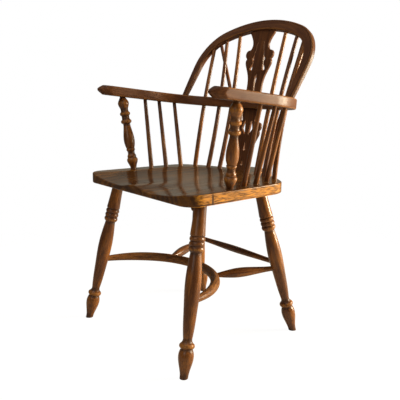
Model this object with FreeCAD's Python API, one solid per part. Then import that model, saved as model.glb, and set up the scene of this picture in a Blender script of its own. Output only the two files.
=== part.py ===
# Low hoop-back windsor armchair, all wood, held together by glued tenons.
# Units are millimetres. The floor is z = 0 and the sitter faces -Y, so left, as the sitter
# has it, is +X. Only the left half is drawn out; the right half is its mirror image.
import FreeCAD
import Part
import math
import os

os.makedirs("parts", exist_ok=True)

Vec = FreeCAD.Vector
UP = Vec(0, 0, 1)
ACROSS = Vec(1, 0, 0)

# Fit of every glued joint: the socket is this much wider than the tenon, all round.
GLUE_GAP = 0.1

# Seat: a plank with straight front and sides, a rounded back and a tail block for the braces.
SEAT_TOP = 430.0
SEAT_THICK = 28.0
SEAT_FRONT_Y = -205.0
SEAT_FRONT_HALF = 236.0
SEAT_SHOULDER = (221.0, 108.0)
SEAT_BACK_Y = 188.0
SEAT_CORNER_R = 42.0
SEAT_SHOULDER_R = 60.0
SEAT_EDGE_R = 3.0
TAIL_ROOT_HALF = 58.0
TAIL_END_HALF = 48.0
TAIL_END_Y = 253.0
TAIL_CORNER_R = 16.0

# Saddle: a dish inside a flat rim, running out over the front edge with a ridge in the middle.
DISH_DEPTH = 12.0
DISH_HALF_WIDTH = 182.0
DISH_MIDDLE_Y = -40.0
DISH_REACH_BACK = 188.0
DISH_FRONT_FLARE = 32.0
DISH_FRONT_EXTRA = 5.0
RIDGE_HEIGHT = 11.0
RIDGE_WIDTH = 40.0

# Legs: where each axis meets the floor and where it passes a level just under the seat.
LEG_TOP_Z = 395.0
FRONT_FOOT = (228.8, -213.5)
FRONT_TOP = (184.9, -132.9)
BACK_FOOT = (198.5, 193.5)
BACK_TOP = (140.5, 107.5)
FRONT_ANKLE = 75.9
BACK_ANKLE = 81.0
LEG_FOOT_R = 11.8
LEG_BULB_R = 18.6
LEG_ANKLE_R = 18.6
LEG_NECK_R = 11.0
LEG_SWELL_R = 19.3
LEG_THROAT_R = 13.6
LEG_RING_R = 18.8
LEG_RING_GROOVE_R = 16.2
LEG_RING_PITCH = 11.8
LEG_RINGS = 3
LEG_VASE = 217.0
LEG_RINGS_GAP = 3.4
LEG_FLARE_R = 18.4
LEG_TOP_R = 15.0
LEG_TENON_END_R = 11.5
LEG_TENON_STRAIGHT = 4.0
LEG_TENON = 19.0

# Stretchers: a bent hoop between the front legs, two spurs to the back legs and a rear rail.
STRETCHER_Z = 174.5
HOOP_STRETCHER_R = 12.4
HOOP_STRETCHER_END_R = 7.0
HOOP_STRETCHER_BEND = 210.9
HOOP_TAPER_ANGLE = 40.0
SPUR_ANGLE = 62.3
SPUR_FRONT_R = 6.2
SPUR_BELLY_R = 13.0
SPUR_BELLY_AT = 0.36
SPUR_BACK_R = 6.8
SPUR_FRONT_GAP = 3.0
SPUR_FRONT_TENON = 14.0
SPUR_BACK_TENON = 22.0
SPUR_BACK_Z = 182.0
REAR_RAIL_Z = 196.0
REAR_RAIL_R = 9.8
REAR_RAIL_END_R = 6.6
REAR_RAIL_TENON = 20.0

# Arm bow: a flat bent board, tilted down to the back about a line across the arm posts.
ARM_HALF = 242.0
ARM_BACK_Y = 203.0
ARM_TIP_Y = -162.5
ARM_CORNER_R = 160.0
ARM_BACK_R = 464.0
ARM_WIDTH = 41.0
ARM_THICK = 26.5
ARM_EDGE_R = 4.0
ARM_NOSE = 54.0
ARM_NOSE_SHAPE = ((0.0, 0.0), (0.03, 0.13), (0.11, 0.27), (0.33, 0.55), (0.62, 0.84), (1.0, 1.02))
ARM_PIVOT_Y = -80.0
ARM_RISE = 219.5
ARM_TILT = 5.9

# Arm posts: turned, one under the front of each arm.
POST_SEAT = (210.3, -65.6)
POST_ARM_OUT = 2.5
POST_FOOT_R = 8.8
POST_BULB_R = 15.7
POST_RING_R = 12.7
POST_BELLY_R = 15.7
POST_NECK_R = 9.9
POST_COLLAR_R = 15.4
POST_BALL_R = 15.8
POST_SEAT_TENON_R = 7.5
POST_SEAT_TENON = 17.0
POST_SHOULDER = 2.0
POST_ARM_TENON_R = 6.8
POST_ARM_TENON = 14.0

# Short sticks: seat point of each and where it meets the arm bow's middle line, front to back.
SHORT_STICKS = (
    ((200.7, -10.0), (242.0, -3.0)),
    ((192.5, 38.0), (241.0, 47.0)),
    ((182.5, 86.0), (231.0, 96.0)),
)
SHORT_STICK_SEAT_R = 6.7
SHORT_STICK_ARM_R = 5.2

# Long sticks: seat point, place on the arm bow and place on the back bow (across, over its feet).
LONG_STICKS = (
    ((78.0, 152.0), (78.0, 199.0), (90.0, 179.0)),
    ((118.5, 142.0), (122.0, 189.0), (138.5, 167.0)),
    ((168.0, 131.5), (169.0, 167.0), (169.0, 141.0)),
)
LONG_STICK_SEAT_R = 6.9
LONG_STICK_ARM_R = 6.0
LONG_STICK_TOP_R = 5.1

# Brace sticks: from the tail block, behind the arm bow, to the shoulders of the back bow.
BRACE_TAIL = (38.0, 225.0)
BRACE_TOP = (172.0, 166.0)
BRACE_BEHIND = 2.5
BRACE_TAIL_R = 6.2
BRACE_TOP_R = 4.9

SEAT_SOCKET = 15.0
ARM_SOCKET = 15.0

# Back bow: a bent hoop lying in one raked plane that stands on the arm bow.
BOW_FOOT_Y = 130.5
BOW_RAKE = 30.4
BOW_HEIGHT = 229.5
BOW_HALF = 216.0
BOW_FOOT_IN = 0.5
BOW_SHOULDER_R = 112.0
BOW_TOP_R = 390.0
BOW_FACE = 30.0
BOW_FOOT_FACE = 18.0
BOW_NARROWING = 2.4
BOW_THICK = 18.0
BOW_FOOT_THICK = 12.0
BOW_EDGE_R = 4.0
BOW_REAR_EDGE_R = 3.0
BOW_FOOT_RUN = 9.0
BOW_TENON_R = 4.8
BOW_TENON = 17.0
BOW_BEAD = 5.0
BOW_BEAD_GROOVE = 1.6
BOW_BEAD_DEPTH = 1.0
BOW_STICK_FORWARD = 1.5

# Splats: two pierced boards in one raked plane, one below and one above the arm bow.
SPLAT_FOOT_Y = 163.7
SPLAT_RAKE = 10.76
SPLAT_THICK = 7.5
SPLAT_TENON_HALF = 22.0
SPLAT_SEAT_TENON = 13.0
SPLAT_ARM_TENON = 9.0
SPLAT_TOP_HALF = 46.5
SPLAT_TOP_LAP = 4.0


def line(points):
    """Straight edge, arc or smooth curve, by how many points it is given."""
    if len(points) == 2:
        return Part.makeLine(points[0], points[1])
    if len(points) == 3:
        return Part.Arc(points[0], points[1], points[2]).toShape()
    curve = Part.BSplineCurve()
    curve.interpolate(points)
    return curve.toShape()


def aim(shape, start, direction):
    """Stand a shape drawn along +Z at a point, pointing along a direction."""
    shape.Placement = FreeCAD.Placement(start, FreeCAD.Rotation(UP, direction))
    return shape


def turned(start, direction, runs):
    """Lathe-turned solid: runs of (distance, radius) points swept about the axis."""
    edges = []
    for run in runs:
        points = [Vec(radius, 0, distance) for distance, radius in run]
        edges.append(line(points))
    first = runs[0][0][0]
    last = runs[-1][-1][0]
    edges.append(Part.makeLine(Vec(runs[-1][-1][1], 0, last), Vec(0, 0, last)))
    edges.append(Part.makeLine(Vec(0, 0, last), Vec(0, 0, first)))
    edges.append(Part.makeLine(Vec(0, 0, first), Vec(runs[0][0][1], 0, first)))
    wire = Part.Wire(Part.__sortEdges__(edges))
    solid = Part.Face(wire).revolve(Vec(0, 0, 0), UP, 360)
    return aim(solid, start, direction)


def cone(start, end, start_r, end_r):
    """Straight stick between two points, tapering evenly."""
    run = end - start
    if abs(start_r - end_r) < 1e-6:
        return Part.makeCylinder(start_r, run.Length, start, run)
    return Part.makeCone(start_r, end_r, run.Length, start, run)


def tube(curve, first, last, radius_at, stations):
    """Round bar that follows a curve, its radius changing along the way."""
    rings = []
    for index in range(stations):
        share = index / (stations - 1)
        at = first + (last - first) * share
        point = curve.value(at)
        along = curve.tangent(at)[0]
        rings.append(Part.Wire(Part.makeCircle(radius_at(share), point, along)))
    return Part.makeLoft(rings, True, False)


def mirrored(shape):
    """The same piece on the other side of the chair."""
    return shape.mirror(Vec(0, 0, 0), ACROSS)


def both(shapes):
    """The pieces of the left half and those of the right half."""
    return shapes + [mirrored(shape) for shape in shapes]


def slab(wire, low, high):
    """Flat outline thickened from one level to another."""
    solid = Part.Face(wire).extrude(Vec(0, 0, high - low))
    solid.translate(Vec(0, 0, low))
    return solid


def lean(shape, angle, base):
    """Tip a shape drawn flat up about the X axis and set it on a base point."""
    turn = FreeCAD.Rotation(ACROSS, angle)
    shape.Placement = FreeCAD.Placement(base, turn).multiply(shape.Placement)
    return shape


def on_arm(shape):
    """Put a shape drawn about the arm's middle plane into the tilted arm plane."""
    shape.translate(Vec(0, -ARM_PIVOT_Y, 0))
    return lean(shape, -ARM_TILT, Vec(0, ARM_PIVOT_Y, arm_pivot_z()))


def arm_pivot_z():
    """Height of the arm bow's middle plane over the arm posts."""
    return SEAT_TOP + ARM_RISE


def arm_z(y, side=0.0):
    """Height of the arm bow's middle plane, or of a face of it, at a distance back."""
    drop = (y - ARM_PIVOT_Y) * math.tan(math.radians(ARM_TILT))
    return arm_pivot_z() - drop + side * ARM_THICK / 2 / math.cos(math.radians(ARM_TILT))


def arm_arcs():
    """Centre of the arm bow's corner arc, across and back, and the back arc's centre, back."""
    corner_x = ARM_HALF - ARM_CORNER_R
    back_y = ARM_BACK_Y - ARM_BACK_R
    corner_y = back_y + math.sqrt((ARM_BACK_R - ARM_CORNER_R) ** 2 - corner_x**2)
    return corner_x, corner_y, back_y


def arm_middle(x, y):
    """Nearest point of the arm bow's middle line, in plan."""
    corner_x, corner_y, back_y = arm_arcs()
    if y < corner_y:
        return ARM_HALF, y
    if (x - corner_x) * (corner_y - back_y) > (y - corner_y) * corner_x:
        share = ARM_CORNER_R / math.hypot(x - corner_x, y - corner_y)
        return corner_x + (x - corner_x) * share, corner_y + (y - corner_y) * share
    share = ARM_BACK_R / math.hypot(x, y - back_y)
    return x * share, back_y + (y - back_y) * share


def bow_foot_z():
    """Height at which the back bow stands on the arm bow."""
    return arm_z(BOW_FOOT_Y, 1)


def bow_arcs():
    """Centre of the back bow's shoulder arc and height of its top arc's centre, in its plane."""
    shoulder_x = BOW_HALF - BOW_SHOULDER_R
    top_y = BOW_HEIGHT - BOW_TOP_R
    shoulder_y = top_y + math.sqrt((BOW_TOP_R - BOW_SHOULDER_R) ** 2 - shoulder_x**2)
    return shoulder_x, shoulder_y, top_y


def bow_middle(x, rise, forward):
    """Point of the back bow near a place given across and over its feet, before its middle."""
    rake = math.radians(BOW_RAKE)
    up = rise / math.cos(rake)
    shoulder_x, shoulder_y, top_y = bow_arcs()
    if (x - shoulder_x) * (shoulder_y - top_y) > (up - shoulder_y) * shoulder_x:
        share = BOW_SHOULDER_R / math.hypot(x - shoulder_x, up - shoulder_y)
        x = shoulder_x + (x - shoulder_x) * share
        up = shoulder_y + (up - shoulder_y) * share
    else:
        share = BOW_TOP_R / math.hypot(x, up - top_y)
        x = x * share
        up = top_y + (up - top_y) * share
    back = BOW_FOOT_Y + up * math.sin(rake) - forward * math.cos(rake)
    return Vec(x, back, bow_foot_z() + up * math.cos(rake) + forward * math.sin(rake))


def leg_axis(foot, top):
    """Floor point and unit direction of a leg."""
    start = Vec(foot[0], foot[1], 0)
    along = Vec(top[0], top[1], LEG_TOP_Z) - start
    return start, along.normalize()


def leg_at(foot, top, z):
    """Point of a leg's axis at a height."""
    start, along = leg_axis(foot, top)
    return start + along * (z / along.z)


def leg(foot, top, ankle):
    """Turned leg with its tapered tenon, cut level at the floor."""
    start, along = leg_axis(foot, top)
    seat = (SEAT_TOP - SEAT_THICK) / along.z

    def at(share, radius):
        return ankle + share * LEG_VASE, radius

    pinch = LEG_ANKLE_R * 0.775
    quirk = at(-0.03, LEG_ANKLE_R * 0.796)
    under = at(0.0253, LEG_ANKLE_R * 0.839)
    neck = at(0.0737, LEG_NECK_R)
    throat = at(1.0, LEG_THROAT_R)
    foot_end = (-LEG_FOOT_R * 0.7, LEG_FOOT_R * 0.966)
    runs = [
        [foot_end, (ankle * 0.4, LEG_BULB_R * 0.828), (ankle * 0.69, LEG_BULB_R), (ankle * 0.896, pinch)],
        [(ankle * 0.896, pinch), quirk],
        [quirk, at(-0.0023, LEG_ANKLE_R), under],
        [under, at(0.0415, LEG_NECK_R * 1.145), neck],
        [
            neck,
            at(0.2074, LEG_SWELL_R * 0.73),
            at(0.4147, LEG_SWELL_R * 0.87),
            at(0.682, LEG_SWELL_R),
            at(0.894, LEG_SWELL_R * 0.85),
            throat,
        ],
    ]
    edge = throat[0] + LEG_RINGS_GAP
    runs.append([throat, (edge, LEG_RING_GROOVE_R)])
    for ring in range(LEG_RINGS):
        middle = edge + LEG_RING_PITCH / 2
        runs.append(
            [
                (edge, LEG_RING_GROOVE_R),
                (middle, LEG_RING_R),
                (edge + LEG_RING_PITCH, LEG_RING_GROOVE_R),
            ]
        )
        edge = edge + LEG_RING_PITCH
    flare = (edge + LEG_RINGS_GAP, LEG_FLARE_R)
    waist = ((2 * flare[0] + seat) / 3, (LEG_FLARE_R + LEG_TOP_R) / 2)
    runs.append([(edge, LEG_RING_GROOVE_R), flare])
    runs.append([flare, waist, (seat, LEG_TOP_R)])
    runs.append([(seat, LEG_TOP_R), (seat + LEG_TENON_STRAIGHT, LEG_TOP_R)])
    runs.append([(seat + LEG_TENON_STRAIGHT, LEG_TOP_R), (seat + LEG_TENON, LEG_TENON_END_R)])
    solid = turned(start, along, runs)
    below = Part.makeBox(200, 200, 50, Vec(foot[0] - 100, foot[1] - 100, -50))
    return solid.cut(below)


def leg_socket(foot, top):
    """Tapered blind hole for a leg in the underside of the seat."""
    start, along = leg_axis(foot, top)
    seat = (SEAT_TOP - SEAT_THICK) / along.z
    wide = LEG_TOP_R + GLUE_GAP
    runs = [
        [(seat - 8, wide), (seat + LEG_TENON_STRAIGHT, wide)],
        [
            (seat + LEG_TENON_STRAIGHT, wide),
            (seat + LEG_TENON, LEG_TENON_END_R + GLUE_GAP),
        ],
    ]
    return turned(start, along, runs)


def post_axis():
    """Seat point, unit direction and seat-to-arm length of an arm post."""
    start = Vec(POST_SEAT[0], POST_SEAT[1], SEAT_TOP)
    end = Vec(ARM_HALF + POST_ARM_OUT, ARM_PIVOT_Y, arm_z(ARM_PIVOT_Y, -1))
    run = end - start
    length = run.Length
    return start, run.normalize(), length


def arm_post():
    """Turned arm post with a tenon at each end."""
    start, along, length = post_axis()

    def at(share, radius):
        return share * length, radius

    waist = POST_NECK_R * 1.09
    step = POST_BELLY_R * 0.77
    foot = (-POST_SHOULDER, POST_FOOT_R)
    bulb_top = at(0.157, step)
    low_groove = at(0.2, waist)
    high_groove = at(0.252, waist)
    belly_foot = at(0.2845, POST_BELLY_R * 0.713)
    neck = at(0.618, POST_NECK_R)
    collar_foot = at(0.6325, POST_COLLAR_R * 0.74)
    first_collar = at(0.685, step)
    second_foot = at(0.742, POST_COLLAR_R * 0.753)
    second_collar = at(0.7895, step)
    ball_foot = at(0.842, POST_COLLAR_R * 0.753)
    top = (length - POST_SHOULDER * 0.75, POST_ARM_TENON_R * 1.147)
    tenon = (length + POST_SHOULDER * 1.5, POST_ARM_TENON_R)
    runs = [
        [(-POST_SEAT_TENON, POST_SEAT_TENON_R), (-POST_SHOULDER, POST_SEAT_TENON_R)],
        [(-POST_SHOULDER, POST_SEAT_TENON_R), foot],
        [
            foot,
            at(0.038, POST_FOOT_R * 1.114),
            at(0.0856, POST_BULB_R * 0.88),
            at(0.1217, POST_BULB_R),
            bulb_top,
        ],
        [bulb_top, at(0.1807, POST_RING_R), low_groove],
        [low_groove, at(0.226, POST_NECK_R), high_groove],
        [high_groove, at(0.268, POST_RING_R), belly_foot],
        [
            belly_foot,
            at(0.333, POST_BELLY_R * 0.91),
            at(0.404, POST_BELLY_R),
            at(0.509, POST_BELLY_R * 0.854),
            neck,
        ],
        [neck, collar_foot],
        [collar_foot, at(0.661, POST_COLLAR_R), first_collar],
        [first_collar, at(0.7135, waist), second_foot],
        [second_foot, at(0.7685, POST_COLLAR_R * 0.968), second_collar],
        [second_collar, at(0.8133, waist), ball_foot],
        [
            ball_foot,
            at(0.875, POST_BALL_R * 0.905),
            at(0.913, POST_BALL_R),
            at(0.956, POST_BALL_R * 0.785),
            top,
        ],
        [top, tenon],
        [tenon, (length + POST_ARM_TENON, POST_ARM_TENON_R)],
    ]
    return turned(start, along, runs)


def post_sockets():
    """Holes for an arm post in the seat and in the arm bow."""
    start, along, length = post_axis()
    wide = POST_FOOT_R + GLUE_GAP
    narrow = POST_SEAT_TENON_R + GLUE_GAP
    top = POST_ARM_TENON_R + GLUE_GAP
    seat = [
        [(-POST_SEAT_TENON, narrow), (-POST_SHOULDER, narrow)],
        [(-POST_SHOULDER, narrow), (-POST_SHOULDER, wide)],
        [(-POST_SHOULDER, wide), (POST_SHOULDER * 2, wide)],
    ]
    mouth = POST_ARM_TENON_R * 1.265 + GLUE_GAP
    arm = [
        [(length - POST_SHOULDER * 2, mouth), (length + POST_SHOULDER * 1.5, top)],
        [(length + POST_SHOULDER * 1.5, top), (length + POST_ARM_TENON, top)],
    ]
    return turned(start, along, seat), turned(start, along, arm)


def stick_points(stick):
    """End points of a short stick, its tenons included."""
    (seat_x, seat_y), arm = stick
    arm_x, arm_y = arm_middle(*arm)
    low = Vec(seat_x, seat_y, SEAT_TOP)
    high = Vec(arm_x, arm_y, arm_z(arm_y, -1))
    along = (high - low).normalize()
    return low - along * SEAT_SOCKET, high + along * ARM_SOCKET


def short_stick(stick, gap=0.0):
    """Short stick between seat and arm bow."""
    low, high = stick_points(stick)
    return cone(low, high, SHORT_STICK_SEAT_R + gap, SHORT_STICK_ARM_R + gap)


def long_stick(stick, gap=0.0):
    """Long stick, bent a little where it passes through the arm bow."""
    (seat_x, seat_y), arm, top = stick
    arm_x, arm_y = arm_middle(*arm)
    low = Vec(seat_x, seat_y, SEAT_TOP)
    middle = Vec(arm_x, arm_y, arm_z(arm_y))
    high = bow_middle(*top, BOW_STICK_FORWARD)
    low = low - (middle - low).normalize() * SEAT_SOCKET
    curve = Part.BSplineCurve()
    curve.interpolate([low, middle, high])

    def radius(share):
        if share < 0.5:
            return gap + LONG_STICK_SEAT_R + (LONG_STICK_ARM_R - LONG_STICK_SEAT_R) * share * 2
        return gap + LONG_STICK_ARM_R + (LONG_STICK_TOP_R - LONG_STICK_ARM_R) * (share * 2 - 1)

    return tube(curve, curve.FirstParameter, curve.LastParameter, radius, 7)


def brace_stick(gap=0.0):
    """Straight brace from the tail block to the back bow."""
    low = Vec(BRACE_TAIL[0], BRACE_TAIL[1], SEAT_TOP)
    high = bow_middle(*BRACE_TOP, -BRACE_BEHIND)
    low = low - (high - low).normalize() * SEAT_SOCKET
    return cone(low, high, BRACE_TAIL_R + gap, BRACE_TOP_R + gap)


def seat_blank():
    """Plank outline with its rounded corners, before the saddle is cut."""
    drop = SEAT_BACK_Y - SEAT_SHOULDER[1]
    back_r = (SEAT_SHOULDER[0] ** 2 + drop**2) / (2 * drop)
    centre_y = SEAT_BACK_Y - back_r

    def back_at(x):
        return Vec(x, centre_y + math.sqrt(back_r**2 - x**2), 0)

    front = Vec(SEAT_FRONT_HALF, SEAT_FRONT_Y, 0)
    shoulder = back_at(SEAT_SHOULDER[0])
    half_way = back_at((SEAT_SHOULDER[0] + TAIL_ROOT_HALF) / 2)
    root = back_at(TAIL_ROOT_HALF)
    tail = Vec(TAIL_END_HALF, TAIL_END_Y, 0)
    left = [
        line([front, shoulder]),
        line([shoulder, half_way, root]),
        line([root, tail]),
    ]
    edges = both(left)
    edges.append(line([tail, Vec(-TAIL_END_HALF, TAIL_END_Y, 0)]))
    edges.append(line([front, Vec(-SEAT_FRONT_HALF, SEAT_FRONT_Y, 0)]))
    wire = Part.Wire(Part.__sortEdges__(edges))
    solid = slab(wire, SEAT_TOP - SEAT_THICK, SEAT_TOP)
    for corner, radius in (
        (front, SEAT_CORNER_R),
        (shoulder, SEAT_SHOULDER_R),
        (root, TAIL_CORNER_R),
        (tail, TAIL_CORNER_R),
    ):
        chosen = []
        for edge in solid.Edges:
            box = edge.BoundBox
            upright = box.ZLength > SEAT_THICK - 1 and box.XLength < 1 and box.YLength < 1
            if upright and math.hypot(abs(box.XMin) - corner.x, box.YMin - corner.y) < 1:
                chosen.append(edge)
        solid = solid.makeFillet(radius, chosen)
    rims = [edge for edge in solid.Edges if edge.BoundBox.ZLength < 0.01]
    return solid.makeFillet(SEAT_EDGE_R, rims)


def dish_depth(x, y):
    """How far the saddle lies under the rim; below nought is clear of the wood."""
    forward = max(0.0, (DISH_MIDDLE_Y - y) / (DISH_MIDDLE_Y - SEAT_FRONT_Y))
    back = max(0.0, (y - DISH_MIDDLE_Y) / DISH_REACH_BACK)
    fall = forward**2
    half = DISH_HALF_WIDTH + DISH_FRONT_FLARE * fall
    depth = (DISH_DEPTH + DISH_FRONT_EXTRA * fall) * (1 - abs(x / half) ** 3 - back**3)
    return depth - RIDGE_HEIGHT * fall * math.exp(-((x / RIDGE_WIDTH) ** 2))


def saddle_tool():
    """Everything over the saddle's surface, to be taken out of the plank."""
    across = 33
    along = 27
    grid = []
    for row in range(along):
        y = SEAT_FRONT_Y - 15 + (SEAT_BACK_Y + 30 - SEAT_FRONT_Y) * row / (along - 1)
        points = []
        for column in range(across):
            x = (SEAT_FRONT_HALF + 15) * (2 * column / (across - 1) - 1)
            points.append(Vec(x, y, SEAT_TOP - dish_depth(x, y)))
        grid.append(points)
    surface = Part.BSplineSurface()
    surface.interpolate(grid)
    return surface.toShape().extrude(Vec(0, 0, 120))


def hoop_curve():
    """Circle that the stretcher hoop is bent to, counted from the left front leg back."""
    end = leg_at(FRONT_FOOT, FRONT_TOP, STRETCHER_Z)
    centre_y = end.y - math.sqrt(HOOP_STRETCHER_BEND**2 - end.x**2)
    return Part.Circle(Vec(0, centre_y, STRETCHER_Z), UP, HOOP_STRETCHER_BEND)


def hoop_stretcher(gap=0.0):
    """Bent stretcher hoop, tapering to a round tenon in each front leg."""
    curve = hoop_curve()
    end = leg_at(FRONT_FOOT, FRONT_TOP, STRETCHER_Z)
    first = math.atan2(end.y - curve.Center.y, end.x)
    last = math.pi - first
    taper = math.radians(HOOP_TAPER_ANGLE) / (last - first)

    def radius(share):
        near = min(share, 1 - share) / taper
        swell = math.sin(min(1.0, near) * math.pi / 2)
        return gap + HOOP_STRETCHER_END_R + (HOOP_STRETCHER_R - HOOP_STRETCHER_END_R) * swell

    return tube(curve, first, last, radius, 25)


def spur_points():
    """Where a spur starts in the stretcher hoop and where it ends in the back leg."""
    angle = math.radians(SPUR_ANGLE)
    return hoop_curve().value(angle), leg_at(BACK_FOOT, BACK_TOP, SPUR_BACK_Z)


def spur():
    """Turned spur, swelling towards the stretcher hoop."""
    start, end = spur_points()
    run = end - start
    length = run.Length
    belly = length * SPUR_BELLY_AT
    body = [
        (SPUR_FRONT_TENON, SPUR_FRONT_R),
        (belly * 0.6, SPUR_BELLY_R * 0.8),
        (belly, SPUR_BELLY_R),
        (length * 0.62, SPUR_BELLY_R * 0.815),
        (length - SPUR_BACK_TENON, SPUR_BACK_R),
    ]
    runs = [
        [(SPUR_FRONT_GAP, SPUR_FRONT_R), (SPUR_FRONT_TENON, SPUR_FRONT_R)],
        body,
        [(length - SPUR_BACK_TENON, SPUR_BACK_R), (length, SPUR_BACK_R)],
    ]
    return turned(start, run.normalize(), runs)


def spur_sockets():
    """Holes for a spur in the stretcher hoop and in the back leg."""
    start, end = spur_points()
    along = (end - start).normalize()
    front_r = SPUR_FRONT_R + GLUE_GAP
    back_r = SPUR_BACK_R + GLUE_GAP
    front = cone(start + along * SPUR_FRONT_GAP, start + along * SPUR_FRONT_TENON, front_r, front_r)
    back = cone(end - along * SPUR_BACK_TENON, end, back_r, back_r)
    return front, back


def rear_rail(gap=0.0):
    """Straight turned rail between the back legs, fullest in the middle."""
    end = leg_at(BACK_FOOT, BACK_TOP, REAR_RAIL_Z)
    half = end.x
    straight = half - REAR_RAIL_TENON
    thin = REAR_RAIL_END_R + gap
    fuller = REAR_RAIL_R * 0.88 + gap
    body = [
        (-straight, thin),
        (-half * 0.4, fuller),
        (0, REAR_RAIL_R + gap),
        (half * 0.4, fuller),
        (straight, thin),
    ]
    runs = [[(-half, thin), (-straight, thin)], body, [(straight, thin), (half, thin)]]
    return turned(Vec(0, end.y, REAR_RAIL_Z), ACROSS, runs)


def arm_side(offset):
    """Left half of a line that runs along the arm bow, offset outwards from its middle."""
    corner_x, corner_y, back_y = arm_arcs()
    meet = math.atan2(corner_y - back_y, corner_x)
    small = ARM_CORNER_R + offset
    big = ARM_BACK_R + offset

    def corner_at(angle):
        return Vec(corner_x + small * math.cos(angle), corner_y + small * math.sin(angle), 0)

    def back_at(angle):
        return Vec(big * math.cos(angle), back_y + big * math.sin(angle), 0)

    tip = Vec(ARM_HALF + offset, ARM_TIP_Y, 0)
    middle = (meet + math.pi / 2) / 2
    edges = [
        line([tip, corner_at(0)]),
        line([corner_at(0), corner_at(meet / 2), corner_at(meet)]),
        line([back_at(meet), back_at(middle), back_at(math.pi / 2)]),
    ]
    return tip, edges


def nose():
    """Blunt point that an arm's end is shaved to, round about the arm's middle line."""
    corner = math.hypot(ARM_WIDTH / 2, ARM_THICK / 2)
    profile = [(share * ARM_NOSE, size * corner) for share, size in ARM_NOSE_SHAPE]
    start = Vec(ARM_HALF, ARM_TIP_Y, 0)
    edges = [line([Vec(radius, 0, distance) for distance, radius in profile])]
    edges.append(line([Vec(profile[-1][1], 0, ARM_NOSE), Vec(0, 0, ARM_NOSE)]))
    edges.append(line([Vec(0, 0, ARM_NOSE), Vec(0, 0, 0)]))
    face = Part.Face(Part.Wire(Part.__sortEdges__(edges)))
    return aim(face.revolve(Vec(0, 0, 0), UP, 360), start, Vec(0, 1, 0))


def arm_bow():
    """Flat bent arm bow with rounded edges and a rounded nose on each arm."""
    outer_tip, outer = arm_side(ARM_WIDTH / 2)
    inner_tip, inner = arm_side(-ARM_WIDTH / 2)
    left = outer + inner + [line([outer_tip, inner_tip])]
    wire = Part.Wire(Part.__sortEdges__(both(left)))
    solid = slab(wire, -ARM_THICK / 2, ARM_THICK / 2)
    edges = []
    for edge in solid.Edges:
        box = edge.BoundBox
        at_tip = box.YLength < 1 and box.YMin < ARM_TIP_Y + 1
        if box.ZLength < 1 and not at_tip:
            edges.append(edge)
    solid = solid.makeFillet(ARM_EDGE_R, edges)
    reach = ARM_BACK_Y + ARM_WIDTH
    across = 2 * ARM_HALF + 2 * ARM_WIDTH
    corner = Vec(-across / 2, ARM_TIP_Y + ARM_NOSE, -across / 2)
    rest = Part.makeBox(across, reach - ARM_TIP_Y, across, corner)
    keep = rest.fuse(both([nose()]))
    return on_arm(solid.common(keep))


def bow_line(inwards, trim=0.0):
    """Smooth line foot to foot along the outer or inner edge of the back bow, or beside it."""
    shoulder_x, shoulder_y, top_y = bow_arcs()
    meet = math.atan2(shoulder_y - top_y, shoulder_x)
    places = []
    for step in range(5):
        up = -BOW_FOOT_RUN + (shoulder_y + BOW_FOOT_RUN) * step / 5
        pinch = BOW_FOOT_IN * ((shoulder_y - up) / shoulder_y) ** 2
        places.append((BOW_HALF - pinch, up, 1.0, 0.0))
    for step in range(8):
        angle = meet * step / 8
        c, s = math.cos(angle), math.sin(angle)
        places.append((shoulder_x + BOW_SHOULDER_R * c, shoulder_y + BOW_SHOULDER_R * s, c, s))
    for step in range(6):
        angle = meet + (math.pi / 2 - meet) * step / 5
        c, s = math.cos(angle), math.sin(angle)
        places.append((BOW_TOP_R * c, top_y + BOW_TOP_R * s, c, s))
    points = []
    for x, up, out_x, out_up in places:
        drop = (BOW_HEIGHT - up) / (BOW_HEIGHT + BOW_FOOT_RUN)
        loss = (BOW_FACE - BOW_FOOT_FACE) / 2 * max(0.0, drop) ** BOW_NARROWING
        reach = BOW_FACE / 2 - loss - trim
        if inwards:
            reach = -reach
        points.append(Vec(x + reach * out_x, up + reach * out_up, 0))
    points[-1].x = 0
    return points + [Vec(-point.x, point.y, 0) for point in points[-2::-1]]


def bow_band(outer, inner):
    """Closed outline between two lines along the back bow."""
    edges = [
        line(outer),
        line([outer[-1], inner[-1]]),
        line(inner),
        line([inner[0], outer[0]]),
    ]
    return Part.Wire(Part.__sortEdges__(edges))


def back_bow(above_arm):
    """Bent back bow with a beaded front edge, cut to stand on the arm bow."""
    solid = slab(bow_band(bow_line(False), bow_line(True)), -BOW_THICK / 2, BOW_THICK / 2)
    crown = BOW_HEIGHT + BOW_FACE
    behind = Part.makeBox(4 * BOW_HALF, 2 * crown, BOW_THICK, Vec(-2 * BOW_HALF, -2 * crown, -BOW_THICK))
    thinning = math.degrees(math.atan2(BOW_THICK - BOW_FOOT_THICK, crown))
    behind.rotate(Vec(0, 0, 0), ACROSS, -thinning)
    behind.translate(Vec(0, crown, -BOW_THICK / 2))
    solid = solid.cut(behind)
    rear_edges = []
    for edge in solid.Edges:
        box = edge.BoundBox
        if box.ZMin < 0 and (box.YLength > 2 or box.XLength > BOW_FACE):
            rear_edges.append(edge)
    solid = solid.makeFillet(BOW_REAR_EDGE_R, rear_edges)
    front_edges = []
    for edge in solid.Edges:
        box = edge.BoundBox
        if box.ZMin > BOW_THICK / 2 - 0.01 and (box.YLength > 2 or box.XLength > BOW_FACE):
            front_edges.append(edge)
    solid = solid.makeFillet(BOW_EDGE_R, front_edges)
    groove = slab(
        bow_band(bow_line(False, BOW_BEAD), bow_line(False, BOW_BEAD + BOW_BEAD_GROOVE)),
        BOW_THICK / 2 - BOW_BEAD_DEPTH,
        BOW_THICK,
    )
    solid = stand_bow(solid.cut(groove))
    return solid.common(above_arm)


def stand_bow(shape):
    """Tip a shape drawn flat into the raked plane of the back bow."""
    return lean(shape, 90 - BOW_RAKE, Vec(0, BOW_FOOT_Y, bow_foot_z()))


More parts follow.
